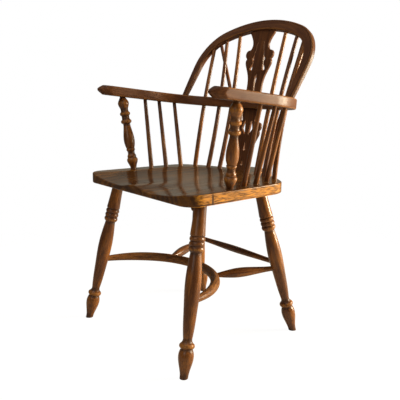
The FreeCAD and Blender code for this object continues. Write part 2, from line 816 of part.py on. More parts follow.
def bow_tenon(gap=0.0):
    """Round tenon at the left foot of the back bow."""
    rake = math.radians(BOW_RAKE)
    down = Vec(0, -math.sin(rake), -math.cos(rake))
    front = (BOW_THICK - BOW_FOOT_THICK) / 2
    foot_y = BOW_FOOT_Y - front * math.cos(rake)
    foot = Vec(BOW_HALF - BOW_FOOT_IN, foot_y, bow_foot_z() + front * math.sin(rake))
    return cone(foot - down * 12, foot + down * BOW_TENON, BOW_TENON_R + gap, BOW_TENON_R + gap)


def pill(p, q):
    """Outline round two circles (x, y, radius) and the lines that touch both."""
    run = math.hypot(q[0] - p[0], q[1] - p[1])
    aim_at = math.atan2(q[1] - p[1], q[0] - p[0])
    lean_by = math.acos((p[2] - q[2]) / run)

    def rim(circle, angle):
        return Vec(circle[0] + circle[2] * math.cos(angle), circle[1] + circle[2] * math.sin(angle), 0)

    one = aim_at + lean_by
    two = aim_at - lean_by
    edges = [
        line([rim(p, one), rim(q, one)]),
        line([rim(q, one), rim(q, aim_at), rim(q, two)]),
        line([rim(q, two), rim(p, two)]),
        line([rim(p, two), rim(p, aim_at + math.pi), rim(p, one)]),
    ]
    return Part.Wire(edges)


def splat_up(z):
    """Distance up the splat's own face from the seat, for a height over the floor."""
    return (z - SEAT_TOP) / math.cos(math.radians(SPLAT_RAKE))


def splat_board(base, side_runs, piercings):
    """Splat sawn to a mirrored outline and pierced; heights are over the base."""
    left = []
    for run in side_runs:
        left.append(line([Vec(x, splat_up(base + z), 0) for x, z in run]))
    edges = both(left)
    for x, z in (side_runs[0][0], side_runs[-1][-1]):
        edges.append(line([Vec(x, splat_up(base + z), 0), Vec(-x, splat_up(base + z), 0)]))
    board = slab(Part.Wire(Part.__sortEdges__(edges)), -SPLAT_THICK, 0)
    holes = []
    for chain in piercings:
        circles = [(x, splat_up(base + z), radius) for x, z, radius in chain]
        for first, second in zip(circles, circles[1:]):
            hole = slab(pill(first, second), -SPLAT_THICK - 1, 1)
            holes.append(hole)
            if abs(chain[0][0]) > 0:
                holes.append(mirrored(hole))
    return stand_splat(board.cut(holes))


def stand_splat(shape):
    """Tip a shape drawn flat into the raked plane of the splats."""
    return lean(shape, 90 - SPLAT_RAKE, Vec(0, SPLAT_FOOT_Y, SEAT_TOP))


def splat_block(half, low_z, high_z, gap=0.0):
    """Rectangular tongue of a splat, or its mortise when a gap is given."""
    low = splat_up(low_z)
    block = Part.makeBox(
        2 * half + 2 * gap,
        splat_up(high_z) - low,
        SPLAT_THICK + 2 * gap,
        Vec(-half - gap, low, -SPLAT_THICK - gap),
    )
    return stand_splat(block)


# Splat outlines, left half, and piercings as chains of circles: the upper splat's heights are over
# the top of the arm bow, the lower splat's over the seat.
UPPER_SIDE = (
    ((28.0, -32.6), (28.5, 29.4), (31.5, 61.4), (46.0, 92.4), (50.5, 105.4), (46.5, 114.9)),
    ((46.5, 114.9), (54.0, 127.4), (43.0, 138.9)),
    ((43.0, 138.9), (35.5, 141.2), (31.0, 152.4), (36.0, 170.4), (SPLAT_TOP_HALF, 185.4)),
)
UPPER_HOLES = (
    ((11.5, 165.4, 1.5), (18.0, 125.4, 1.7), (22.0, 114.4, 3.8), (20.0, 103.4, 1.7), (25.0, 86.4, 5.0)),
    ((0.0, 70.4, 1.8), (0.0, 58.4, 4.2), (0.0, 21.4, 1.8)),
)
LOWER_SIDE = (
    ((29.0, -10.0), (29.5, 35.0), (34.0, 76.0), (46.0, 102.0), (48.5, 111.0), (45.5, 117.0)),
    ((45.5, 117.0), (52.5, 129.0), (41.0, 141.0)),
    ((41.0, 141.0), (38.5, 143.0), (37.5, 154.0), (40.0, 170.0), (43.0, 195.0)),
)
LOWER_HOLES = (
    ((32.0, 173.0, 1.5), (29.0, 145.0, 4.4)),
    ((12.5, 145.0, 1.4), (15.0, 122.0, 6.0), (7.5, 105.0, 1.6)),
    ((0.0, 82.0, 1.6), (0.0, 61.0, 3.8)),
    ((0.0, 32.0, 1.4), (0.0, 18.0, 3.2)),
)


def build():
    """Make every piece of the chair, each cut to take the tenons of its neighbours."""
    wide = 4 * ARM_HALF
    room = Part.makeBox(wide, wide, wide, Vec(-wide / 2, -wide / 2, ARM_THICK / 2))
    above_arm = on_arm(room)
    room = Part.makeBox(wide, wide, wide, Vec(-wide / 2, -wide / 2, -wide - ARM_THICK / 2))
    below_arm = on_arm(room)
    over_seat = Part.makeBox(wide, wide, wide, Vec(-wide / 2, -wide / 2, SEAT_TOP))
    pieces = {}

    splat_middle = SPLAT_FOOT_Y + math.tan(math.radians(SPLAT_RAKE)) * (arm_pivot_z() - SEAT_TOP)
    arm_top = arm_z(splat_middle, 1)
    arm_under = arm_z(splat_middle, -1)
    low_tongue = (SPLAT_TENON_HALF, SEAT_TOP - SPLAT_SEAT_TENON, SEAT_TOP + 4)
    under_tongue = (SPLAT_TENON_HALF, arm_under - 4, arm_under + SPLAT_ARM_TENON)
    over_tongue = (SPLAT_TENON_HALF, arm_top - SPLAT_ARM_TENON, arm_top + 4)
    splat_top = bow_foot_z() + BOW_HEIGHT * math.cos(math.radians(BOW_RAKE)) - SPLAT_TOP_LAP
    top_tongue = (SPLAT_TOP_HALF, splat_top - 2 * BOW_FACE, splat_top)
    shoulder = UPPER_SIDE[-1][-1]
    upper_side = UPPER_SIDE + ((shoulder, (shoulder[0], splat_top - arm_top)),)
    lower = splat_board(SEAT_TOP, LOWER_SIDE, LOWER_HOLES).common(over_seat).common(below_arm)
    lower = lower.fuse([splat_block(*low_tongue), splat_block(*under_tongue)])
    pieces["lower_splat"] = lower.removeSplitter()
    upper = splat_board(arm_top, upper_side, UPPER_HOLES).common(above_arm)
    pieces["upper_splat"] = upper.fuse(splat_block(*over_tongue)).removeSplitter()

    post_in_seat, post_in_arm = post_sockets()
    short_holes = [short_stick(stick, GLUE_GAP) for stick in SHORT_STICKS]
    long_holes = [long_stick(stick, GLUE_GAP) for stick in LONG_STICKS]
    brace_hole = brace_stick(GLUE_GAP)

    seat = seat_blank().cut(saddle_tool())
    left_holes = [leg_socket(FRONT_FOOT, FRONT_TOP), leg_socket(BACK_FOOT, BACK_TOP), post_in_seat]
    seat_holes = both(left_holes + short_holes + long_holes + [brace_hole])
    pieces["seat"] = seat.cut(seat_holes + [splat_block(*low_tongue, GLUE_GAP)])

    spur_front, spur_back = spur_sockets()
    stretcher_hole = hoop_stretcher(GLUE_GAP)
    pieces["crinoline_stretcher"] = hoop_stretcher().cut(both([spur_front]))
    pieces["rear_stretcher"] = rear_rail()

    arm_holes = both([post_in_arm, bow_tenon(GLUE_GAP)] + short_holes + long_holes)
    arm_slots = [splat_block(*under_tongue, GLUE_GAP), splat_block(*over_tongue, GLUE_GAP)]
    pieces["arm_bow"] = arm_bow().cut(arm_holes + arm_slots)

    bow = back_bow(above_arm).fuse(both([bow_tenon()])).removeSplitter()
    bow_holes = both(long_holes + [brace_hole])
    pieces["back_bow"] = bow.cut(bow_holes + [splat_block(*top_tongue, GLUE_GAP)])

    left = {
        "front_{}_leg": leg(FRONT_FOOT, FRONT_TOP, FRONT_ANKLE).cut(stretcher_hole),
        "back_{}_leg": leg(BACK_FOOT, BACK_TOP, BACK_ANKLE).cut([spur_back, rear_rail(GLUE_GAP)]),
        "{}_spur": spur(),
        "{}_arm_post": arm_post(),
        "{}_brace_stick": brace_stick(),
    }
    for number, stick in enumerate(SHORT_STICKS, 1):
        left["{}_short_stick_" + str(number)] = short_stick(stick)
    for number, stick in enumerate(LONG_STICKS, 1):
        left["{}_long_stick_" + str(number)] = long_stick(stick)
    for name, shape in left.items():
        pieces[name.format("left")] = shape
        pieces[name.format("right")] = mirrored(shape)
    return pieces


def one_solid(shape):
    """The single solid inside a boolean result."""
    solids = shape.Solids
    if len(solids) != 1:
        raise ValueError("expected one solid, found " + str(len(solids)))
    return solids[0]


solids = {name: one_solid(shape) for name, shape in build().items()}

# The origin sits on the floor under the middle of the chair's overall length and width.
boxes = [solid.optimalBoundingBox() for solid in solids.values()]
front_y = min(box.YMin for box in boxes)
rear_y = max(box.YMax for box in boxes)
for name, solid in solids.items():
    solid.translate(Vec(0, -(front_y + rear_y) / 2, 0))
    solid.exportStep("parts/" + name + ".step")
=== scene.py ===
"""Dresses the low hoop-back windsor armchair: smooth wood surfaces, finishes, light and camera.

Each solid of the frame is stood for by a surface of the same shape, worked out with numpy from
the chair's own sizes. A surface carries two attributes that its finish reads: "grain", where a
point lies in its stick or board (across, through, along, in metres), so that the wood's figure
follows every bend, and "relief", above nought on worn crests and edges, below nought in grooves.
Relief is also raised as painted light on the seat's side walls, and lowered as painted shade on
the seat's front and back walls, on the arm bow's points and on the feet.
Sizes are in millimetres, as a chair maker has them; meshes, lamps and finishes are in metres.
"""

import logging
import math
from dataclasses import dataclass, field
from enum import Enum
from typing import NamedTuple, Sequence

import bmesh
import bpy
import numpy as np
from mathutils import Matrix, Vector


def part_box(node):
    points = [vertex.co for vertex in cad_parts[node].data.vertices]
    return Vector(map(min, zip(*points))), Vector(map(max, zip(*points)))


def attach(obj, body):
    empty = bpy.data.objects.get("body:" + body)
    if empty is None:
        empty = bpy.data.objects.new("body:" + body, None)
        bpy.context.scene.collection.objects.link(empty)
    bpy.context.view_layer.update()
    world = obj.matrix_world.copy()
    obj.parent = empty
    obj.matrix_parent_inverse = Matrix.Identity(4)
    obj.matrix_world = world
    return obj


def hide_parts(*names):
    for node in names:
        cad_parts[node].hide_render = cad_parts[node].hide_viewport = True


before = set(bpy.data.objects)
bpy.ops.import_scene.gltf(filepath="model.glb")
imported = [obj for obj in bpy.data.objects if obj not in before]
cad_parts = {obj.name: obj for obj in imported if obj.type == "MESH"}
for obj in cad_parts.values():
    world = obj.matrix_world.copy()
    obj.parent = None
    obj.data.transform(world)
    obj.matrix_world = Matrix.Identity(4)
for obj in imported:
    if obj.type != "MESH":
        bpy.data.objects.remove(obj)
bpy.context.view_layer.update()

Array = np.ndarray
Socket = bpy.types.NodeSocket
Triple = tuple[float, float, float]
Place = tuple[float, float]
Run = Sequence[Place]
Profile = Sequence[Sequence[Triple]]
LOG = logging.getLogger("windsor_chair")
MM = 0.001
QUARTER = math.pi / 2.0
FLIP = np.array([-1.0, 1.0])
ROUND_POINTS = 40
ROUND = np.linspace(0.0, 2.0 * np.pi, ROUND_POINTS, endpoint=False)
IN_LINE = 1e-9
LATHE_STEP = 0.8
SAW_STEP = 1.0
NOSE_STEP = 0.3
CREST_REACH = 9.0
CREST_FULL = 1.6
STICK_WEAR = 0.15
CORNER_WEAR = np.array([0.2, 0.7, 1.0, 1.0, 0.7, 0.2])
SIDE_STEPS = np.linspace(0.25, 0.75, 7)
FRONT_STEPS = np.linspace(0.35, -0.65, 9)
REAR_STEPS = np.linspace(-0.65, 0.65, 9)
GROOVE_STEPS = ((0.0, 0.0), (0.25, 1.0), (0.75, 1.0), (1.0, 0.0))


class Slot(Enum):
    """Material slots of the record."""

    SEAT = "seat_wood"
    TURNED = "turned_wood"
    BENT = "bent_and_sawn_wood"


class Side(Enum):
    """Sides of the chair as the sitter has them."""

    LEFT = "left"
    RIGHT = "right"


def unit(vectors: Array) -> Array:
    """Vectors scaled to length one along their last axis."""
    return vectors / np.linalg.norm(vectors, axis=-1, keepdims=True)


def free_spline(at: Array, values: Array, wanted: Array) -> Array:
    """Smooth curve through points, leaving each end as the cubic through the four points there.

    The second derivatives m solve h0 m0 + 2 (h0 + h1) m1 + h1 m2 = 6 (slope1 - slope0); at the
    ends, with the end cubic's slope d, 2 h0 m0 + h0 m1 = 6 (slope0 - d), and the same reversed.
    Between points the curve is the cubic that they fix.

    Args:
        at: rising places of the points, four or more, (k,).
        values: the points, (k, d).
        wanted: places to work the curve out at, (n,).

    Returns:
        The curve's points, (n, d).
    """
    gap = np.diff(at)
    slope = np.diff(values, axis=0) / gap[:, None]
    start = np.polyfit(at[:4] - at[0], values[:4], 3)[-2]
    end = np.polyfit(at[-4:] - at[-1], values[-4:], 3)[-2]
    inner = np.arange(1, len(at) - 1)
    matrix = np.zeros((len(at), len(at)))
    matrix[inner, inner - 1] = gap[:-1]
    matrix[inner, inner] = 2.0 * (gap[:-1] + gap[1:])
    matrix[inner, inner + 1] = gap[1:]
    matrix[0, :2] = 2.0 * gap[0], gap[0]
    matrix[-1, -2:] = gap[-1], 2.0 * gap[-1]
    pull = np.zeros_like(values)
    pull[inner] = 6.0 * np.diff(slope, axis=0)
    pull[0] = 6.0 * (slope[0] - start)
    pull[-1] = 6.0 * (end - slope[-1])
    bend = np.linalg.solve(matrix, pull)
    span = np.clip(np.searchsorted(at, wanted, side="right") - 1, 0, len(gap) - 1)
    width = gap[span][:, None]
    before = (at[span + 1] - wanted)[:, None]
    after = (wanted - at[span])[:, None]
    cubic = (bend[span] * before**3 + bend[span + 1] * after**3) / (6.0 * width)
    falling = (values[span] / width - bend[span] * width / 6.0) * before
    rising = (values[span + 1] / width - bend[span + 1] * width / 6.0) * after
    return cubic + falling + rising


def arc_through(points: Array, count: int) -> Array:
    """Circle arc through three points in a plane, or a straight line where they lie in line.

    The centre is as far from all three: 2 (p1 - p0) . c = |p1|^2 - |p0|^2, and the same for p2.

    Args:
        points: the three points, (3, 2).
        count: how many points to give.

    Returns:
        Points along the arc, (count, 2).
    """
    sides = points[1:] - points[0]
    reach = (points[1:] ** 2).sum(1) - (points[0] ** 2).sum()
    if abs(np.linalg.det(sides)) < IN_LINE:
        return points[0] + np.linspace(0.0, 1.0, count)[:, None] * sides[1]
    centre = np.linalg.solve(2.0 * sides, reach)
    angle = np.unwrap(np.arctan2(points[:, 1] - centre[1], points[:, 0] - centre[0]))
    turn = np.linspace(angle[0], angle[2], count)
    radius = np.hypot(*(points[0] - centre))
    return centre + radius * np.stack([np.cos(turn), np.sin(turn)], 1)


def run_points(run: Run, step: float) -> Array:
    """One run of an outline: straight from two points, an arc from three, else a smooth curve.

    Args:
        run: the points that the run is drawn through.
        step: spacing of the points given back.

    Returns:
        Points along the run, (n, 2), both ends included.
    """
    points = np.array(run, float)
    chords = np.linalg.norm(np.diff(points, axis=0), axis=1)
    count = max(3, int(chords.sum() / step) + 1)
    if len(points) == 2:
        return points[0] + np.linspace(0.0, 1.0, count)[:, None] * (points[1] - points[0])
    if len(points) == 3:
        return arc_through(points, count)
    at = np.concatenate([[0.0], np.cumsum(chords)])
    return free_spline(at, points, np.linspace(0.0, at[-1], count))


def outline(runs: Sequence[Run], step: float) -> Array:
    """Runs joined end to end, each shared point kept once, with points a step apart, (n, 2)."""
    parts = [run_points(run, step) for run in runs]
    return np.concatenate([parts[0]] + [part[1:] for part in parts[1:]])


def turned_runs(profile: Profile, length: float) -> list[Run]:
    """Runs of (distance, radius) from a turner's table.

    A row of the table is the points of one run, without the point that it starts from, which is
    the last point of the row before. A point is share * length + shift along the axis.

    Args:
        profile: share, shift and radius of each point; the first row is the start alone.
        length: the length that the shares are of.

    Returns:
        The runs, each with its start.
    """
    placed = [[(share * length + shift, radius) for share, shift, radius in row] for row in profile]
    return [[before[-1], *row] for before, row in zip(placed, placed[1:])]


def three_point_path(points: Array, count: int) -> Array:
    """Parabola through three points in space, placed by its chord lengths (Lagrange's form).

    Args:
        points: the three points, (3, 3).
        count: how many points to give.

    Returns:
        Points along the parabola, (count, 3).
    """
    first = np.linalg.norm(points[1] - points[0])
    middle = first / (first + np.linalg.norm(points[2] - points[1]))
    t = np.linspace(0.0, 1.0, count)[:, None]
    one = (t - middle) * (t - 1.0) / middle
    two = t * (t - 1.0) / (middle * (middle - 1.0))
    three = t * (t - middle) / (1.0 - middle)
    return one * points[0] + two * points[1] + three * points[2]


def straight_path(low: Array, high: Array, count: int) -> Array:
    """Points spaced evenly from one point to another, low + t (high - low)."""
    return low + np.linspace(0.0, 1.0, count)[:, None] * (high - low)


def path_length(path: Array) -> Array:
    """Distance travelled along a path at each of its points."""
    steps = np.linalg.norm(np.diff(path, axis=0), axis=1)
    return np.concatenate([[0.0], np.cumsum(steps)])


def crest(radius: Array, along: Array) -> Array:
    """How far a turned profile stands over its neighbourhood, -1 to 1.

    The neighbourhood is the mean of the radius weighted by exp(-(distance / reach)^2). A point
    that stands out from it by the full height or more counts as 1.

    Args:
        radius: radius at each point of the profile, (n,).
        along: place of each point along the axis, (n,).

    Returns:
        The crest of each point, (n,).
    """
    weight = np.exp(-(((along[:, None] - along[None, :]) / CREST_REACH) ** 2))
    weight = weight * np.gradient(along)[None, :]
    mean = (weight @ radius) / weight.sum(1)
    return np.clip((radius - mean) / CREST_FULL, -1.0, 1.0)


@dataclass
class Skin:
    """A surface on a grid: n stations along the wood, m points round it.

    Attributes:
        points: places in the fit of the chair, millimetres, (n, m, 3).
        grain: places in the wood, millimetres, (n, m, 3).
        relief: wear above nought and grime below it, with painted light and shade on some pieces, (n, m).
    """

    points: Array
    grain: Array
    relief: Array

    def mirrored(self) -> "Skin":
        """The same surface on the other side of the chair."""
        return Skin(self.points * np.array([-1.0, 1.0, 1.0]), self.grain, self.relief)

    def faces(self) -> list[list[int]]:
        """Quads between stations, closed round, and a face over each end.

        Returns:
            Corner numbers of each face.
        """
        n, m = self.relief.shape
        row = np.arange(n - 1)[:, None] * m
        here = np.arange(m)[None, :]
        there = (here + 1) % m
        quads = np.stack([row + here, row + there, row + m + there, row + m + here], -1)
        ends = [list(range(m))[::-1], list(range((n - 1) * m, n * m))]
        return quads.reshape(-1, 4).tolist() + ends


def sweep(path: Array, side: Array, up: Array, section: Array, relief: Array) -> Skin:
    """Section carried along a path: point = path + side * across + up * through.

    Args:
        path: middle line, (n, 3).
        side: unit vectors across the piece, (n, 3) or (3,).
        up: unit vectors through the piece, (n, 3) or (3,).
        section: across and through of each point, (n, m, 2).
        relief: wear of each point, (n, m).

    Returns:
        The swept surface.
    """
    side = np.broadcast_to(side, path.shape)[:, None, :]
    up = np.broadcast_to(up, path.shape)[:, None, :]
    points = path[:, None, :] + side * section[..., :1] + up * section[..., 1:]
    along = np.broadcast_to(path_length(path)[:, None, None], section[..., :1].shape)
    return Skin(points, np.concatenate([section, along], -1), relief)


def round_bar(path: Array, radius: Array, relief: Array) -> Skin:
    """Round bar along a path: each section is a circle, radius * (cos, sin).

    Args:
        path: middle line, (n, 3).
        radius: radius at each point of it, (n,).
        relief: wear at each point of it, (n,).

    Returns:
        The bar's surface.
    """
    along = unit(np.gradient(path, axis=0))
    least = np.eye(3)[np.argmin(np.abs(along).mean(0))]
    side = unit(np.cross(along, least))
    up = np.cross(along, side)
    ring = np.stack([np.cos(ROUND), np.sin(ROUND)], -1)
    section = radius[:, None, None] * ring[None]
    return sweep(path, side, up, section, np.repeat(relief[:, None], len(ROUND), 1))


def tapered_stick(path: Array, radii: Sequence[float]) -> Skin:
    """Round stick whose radius passes evenly from one of its radii to the next.

    Args:
        path: middle line, (n, 3).
        radii: radii from the lower end to the upper one, evenly placed.

    Returns:
        The stick's surface.
    """
    places = np.linspace(0.0, 1.0, len(radii))
    radius = np.interp(np.linspace(0.0, 1.0, len(path)), places, radii)
    return round_bar(path, radius, np.full(len(path), STICK_WEAR))


def lathe(start: Array, direction: Array, runs: Sequence[Run]) -> Skin:
    """Turned piece: runs of (distance, radius) carried round an axis.

    Args:
        start: point that distances are counted from.
        direction: way along the axis.
        runs: the profile, from one end to the other.

    Returns:
        The turned surface, with wear on its beads and grime in its grooves.
    """
    profile = outline(runs, LATHE_STEP)
    path = start + unit(np.asarray(direction, float)) * profile[:, :1]
    return round_bar(path, profile[:, 1], crest(profile[:, 1], profile[:, 0]))


class Bead(NamedTuple):
    """Bead worked along a board's front face: its width, its groove's width and depth."""

    width: float
    groove: float
    depth: float


@dataclass(frozen=True)
class BoardSection:
    """Rounded rectangle at every station of a bent board.

    Attributes:
        front_r: radius of the two front corners.
        rear_r: radius of the two rear corners.
        bead: bead near the outer edge of the front face, or none.
    """

    front_r: float
    rear_r: float
    bead: Bead | None = None

    def points(self, half: Array, front: Array, rear: Array) -> tuple[Array, Array]:
        """Section points, anticlockwise from the outer rear corner.

        Each corner is a quarter circle about (half - r, front - r) or (half - r, rear + r), or
        its mirror image; the sides and faces between are straight.

        Args:
            half: half width at each station, (n,).
            front: front face at each station, (n,).
            rear: rear face at each station, (n,).

        Returns:
            Section points, (n, m, 2), and the wear of each, (n, m).
        """
        turn = np.linspace(0.0, QUARTER, len(CORNER_WEAR))
        out, fore, aft = half[:, None], front[:, None], rear[:, None]
        columns: list[Array] = []
        wear: list[Array] = []

        def put(across: Array, through: Array, worn: Array | float) -> None:
            """Add columns to the section."""
            columns.append(np.stack(np.broadcast_arrays(across, through), -1))
            wear.append(np.broadcast_to(worn, columns[-1].shape[:2]))

        def corner(side: float, middle: Array, radius: float, first: float) -> None:
            """Add a quarter circle that starts at an angle."""
            across = side * (out - radius) + radius * np.cos(turn + first)
            put(across, middle + radius * np.sin(turn + first), CORNER_WEAR)

        corner(1.0, aft + self.rear_r, self.rear_r, -QUARTER)
        put(out, aft + (fore - aft) * SIDE_STEPS, 0.0)
        corner(1.0, fore - self.front_r, self.front_r, 0.0)
        if self.bead is not None:
            for share, sunk in GROOVE_STEPS:
                across = out - self.bead.width - share * self.bead.groove
                put(across, fore - sunk * self.bead.depth, -sunk)
        put(out * FRONT_STEPS, fore, 0.0)
        corner(-1.0, fore - self.front_r, self.front_r, QUARTER)
        put(-out, fore + (aft - fore) * SIDE_STEPS, 0.0)
        corner(-1.0, aft + self.rear_r, self.rear_r, 2.0 * QUARTER)
        put(out * REAR_STEPS, aft, 0.0)
        return np.concatenate(columns, 1), np.concatenate(wear, 1)


@dataclass(frozen=True)
class TiltedPlane:
    """A plane through the across direction that leans from front to back.

    Attributes:
        back: distance back of the plane's own origin.
        height: height of that origin.
        goes_back: how far the plane's second direction goes back.
        goes_up: how far it goes up.
    """

    back: float
    height: float
    goes_back: float
    goes_up: float

    def normal(self) -> Array:
        """Unit vector at right angles to the plane."""
        return np.array([0.0, -self.goes_up, self.goes_back])

    def ways(self, flat: Array) -> Array:
        """Vectors of the plane, (across, along), as vectors in the chair, (n, 3)."""
        return np.stack([flat[:, 0], flat[:, 1] * self.goes_back, flat[:, 1] * self.goes_up], -1)

    def points(self, flat: Array) -> Array:
        """Points of the plane, (across, along), as places in the chair, (n, 3)."""
        return np.array([0.0, self.back, self.height]) + self.ways(flat)


@dataclass(frozen=True)
class BentLine:
    """Middle line of a bent bow, flat: straight sides, an arc round each corner, a wide arc between.

    The wide arc is about (0, crown - wide_r). A corner arc touches it and the side, so it is
    about x = half - corner_r, at sqrt((wide_r - corner_r)^2 - x^2) over the wide arc's centre.

    Attributes:
        half: half the distance from side to side.
        crown: height of the wide arc's middle.
        corner_r: radius of the corner arcs.
        wide_r: radius of the wide arc.
    """

    half: float
    crown: float
    corner_r: float
    wide_r: float

    def centres(self) -> Triple:
        """Centre of the corner arc, across and up, and height of the wide arc's centre.

        Returns:
            The three numbers.
        """
        across = self.half - self.corner_r
        wide = self.crown - self.wide_r
        return across, wide + math.sqrt((self.wide_r - self.corner_r) ** 2 - across**2), wide

    def nearest(self, x: float, y: float) -> Place:
        """Nearest point of the line: a point is drawn to the side, or along a radius to its arc.

        Args:
            x: place across.
            y: place up.

        Returns:
            The point of the line.
        """
        across, up, wide = self.centres()
        if y < up:
            return self.half, y
        if (x - across) * (up - wide) > (y - up) * across:
            share = self.corner_r / math.hypot(x - across, y - up)
            return across + (x - across) * share, up + (y - up) * share
        share = self.wide_r / math.hypot(x, y - wide)
        return x * share, wide + (y - wide) * share

    def whole(self, side: Array, corner_steps: int, wide_steps: int) -> tuple[Array, Array]:
        """The line from end to end: centre + radius (cos, sin) along each arc, and mirrored.

        Args:
            side: points of one side, up to its corner arc, (k, 2).
            corner_steps: points round a corner arc.
            wide_steps: points along half of the wide arc.

        Returns:
            Points of the line and unit vectors out from it, both (n, 2).
        """
        across, up, wide = self.centres()
        meet = math.atan2(up - wide, across)
        turn = np.linspace(0.0, meet, corner_steps)[1:]
        over = np.linspace(meet, QUARTER, wide_steps)[1:]
        turn_out = np.stack([np.cos(turn), np.sin(turn)], -1)
        over_out = np.stack([np.cos(over), np.sin(over)], -1)
        corner_arc = np.array([across, up]) + self.corner_r * turn_out
        wide_arc = np.array([0.0, wide]) + self.wide_r * over_out
        line = np.concatenate([side, corner_arc, wide_arc])
        out = np.concatenate([np.repeat([[1.0, 0.0]], len(side), 0), turn_out, over_out])
        return np.concatenate([line, line[-2::-1] * FLIP]), np.concatenate([out, out[-2::-1] * FLIP])


class Ease(NamedTuple):
    """A range of values, low to high, eased into another."""

    low: float
    high: float
    to_low: float = 0.0
    to_high: float = 1.0


class Streak(NamedTuple):
    """A noise drawn out along the grain.

    Attributes:
        along: its scale along the grain, as a share of the scale across.
        scale: patches to a metre across the grain.
        detail: how many finer layers it has.
        rough: strength of the finer layers.
    """

    along: float
    scale: float
    detail: float
    rough: float = 0.55


class NodeBoard:
    """A node tree with short calls to add and join its nodes."""

    def __init__(self, tree: bpy.types.NodeTree) -> None:
        """Start on an emptied tree."""
        self.tree = tree
        tree.nodes.clear()

    def add(self, kind: str, values: dict | None = None, **settings: object) -> bpy.types.Node:
        """Add a node.

        Args:
            kind: the node's type name.
            values: start values or links of its inputs, by name or number.
            settings: other settings of the node.

        Returns:
            The node.
        """
        node = self.tree.nodes.new(kind)
        for name, setting in settings.items():
            setattr(node, name, setting)
        for name, value in (values or {}).items():
            if isinstance(value, Socket):
                self.tree.links.new(value, node.inputs[name])
            else:
                node.inputs[name].default_value = value
        return node

    def maths(self, operation: str, one: object, two: object, clamp: bool = False) -> Socket:
        """Result of a Math node on two values or sockets."""
        node = self.add("ShaderNodeMath", {0: one, 1: two}, operation=operation, use_clamp=clamp)
        return node.outputs[0]

    def vector(self, operation: str, *parts: object) -> bpy.types.NodeOutputs:
        """Outputs of a Vector Math node on one or two vectors."""
        node = self.add("ShaderNodeVectorMath", dict(enumerate(parts)), operation=operation)
        return node.outputs

    def stretch(self, vector: Socket, along: float) -> Socket:
        """A place in the wood, drawn out along the grain."""
        return self.vector("MULTIPLY", vector, (1.0, 1.0, along))[0]

    def streak(self, grain: Socket, streak: Streak) -> Socket:
        """Value of a streaky noise, about 0.2 to 0.8.

        Args:
            grain: place in the wood.
            streak: the noise.

        Returns:
            The value.
        """
        values = {
            "Vector": self.stretch(grain, streak.along),
            "Scale": streak.scale,
            "Detail": streak.detail,
            "Roughness": streak.rough,
        }
        return self.add("ShaderNodeTexNoise", values).outputs[0]

    def ramp(self, value: Socket, ease: Ease) -> Socket:
        """A value eased from one range into another."""
        values = {"Value": value, 1: ease.low, 2: ease.high, 3: ease.to_low, 4: ease.to_high}
        return self.add("ShaderNodeMapRange", values, interpolation_type="SMOOTHSTEP").outputs[0]

    def mix(self, share: Socket, one: object, two: object) -> Socket:
        """Two colours mixed."""
        node = self.add("ShaderNodeMix", {0: share, 6: one, 7: two}, data_type="RGBA")
        return node.outputs[2]


def new_group(name: str, inputs: dict[str, str], outputs: dict[str, str]) -> bpy.types.NodeTree:
    """Make an empty shader node group.

    Args:
        name: the group's name.
        inputs: names and kinds of its inputs.
        outputs: names and kinds of its outputs.

    Returns:
        The node group.
    """
    tree = bpy.data.node_groups.new(name, "ShaderNodeTree")
    for way, sockets in (("INPUT", inputs), ("OUTPUT", outputs)):
        for label, kind in sockets.items():
            tree.interface.new_socket(name=label, in_out=way, socket_type="NodeSocket" + kind)
    return tree


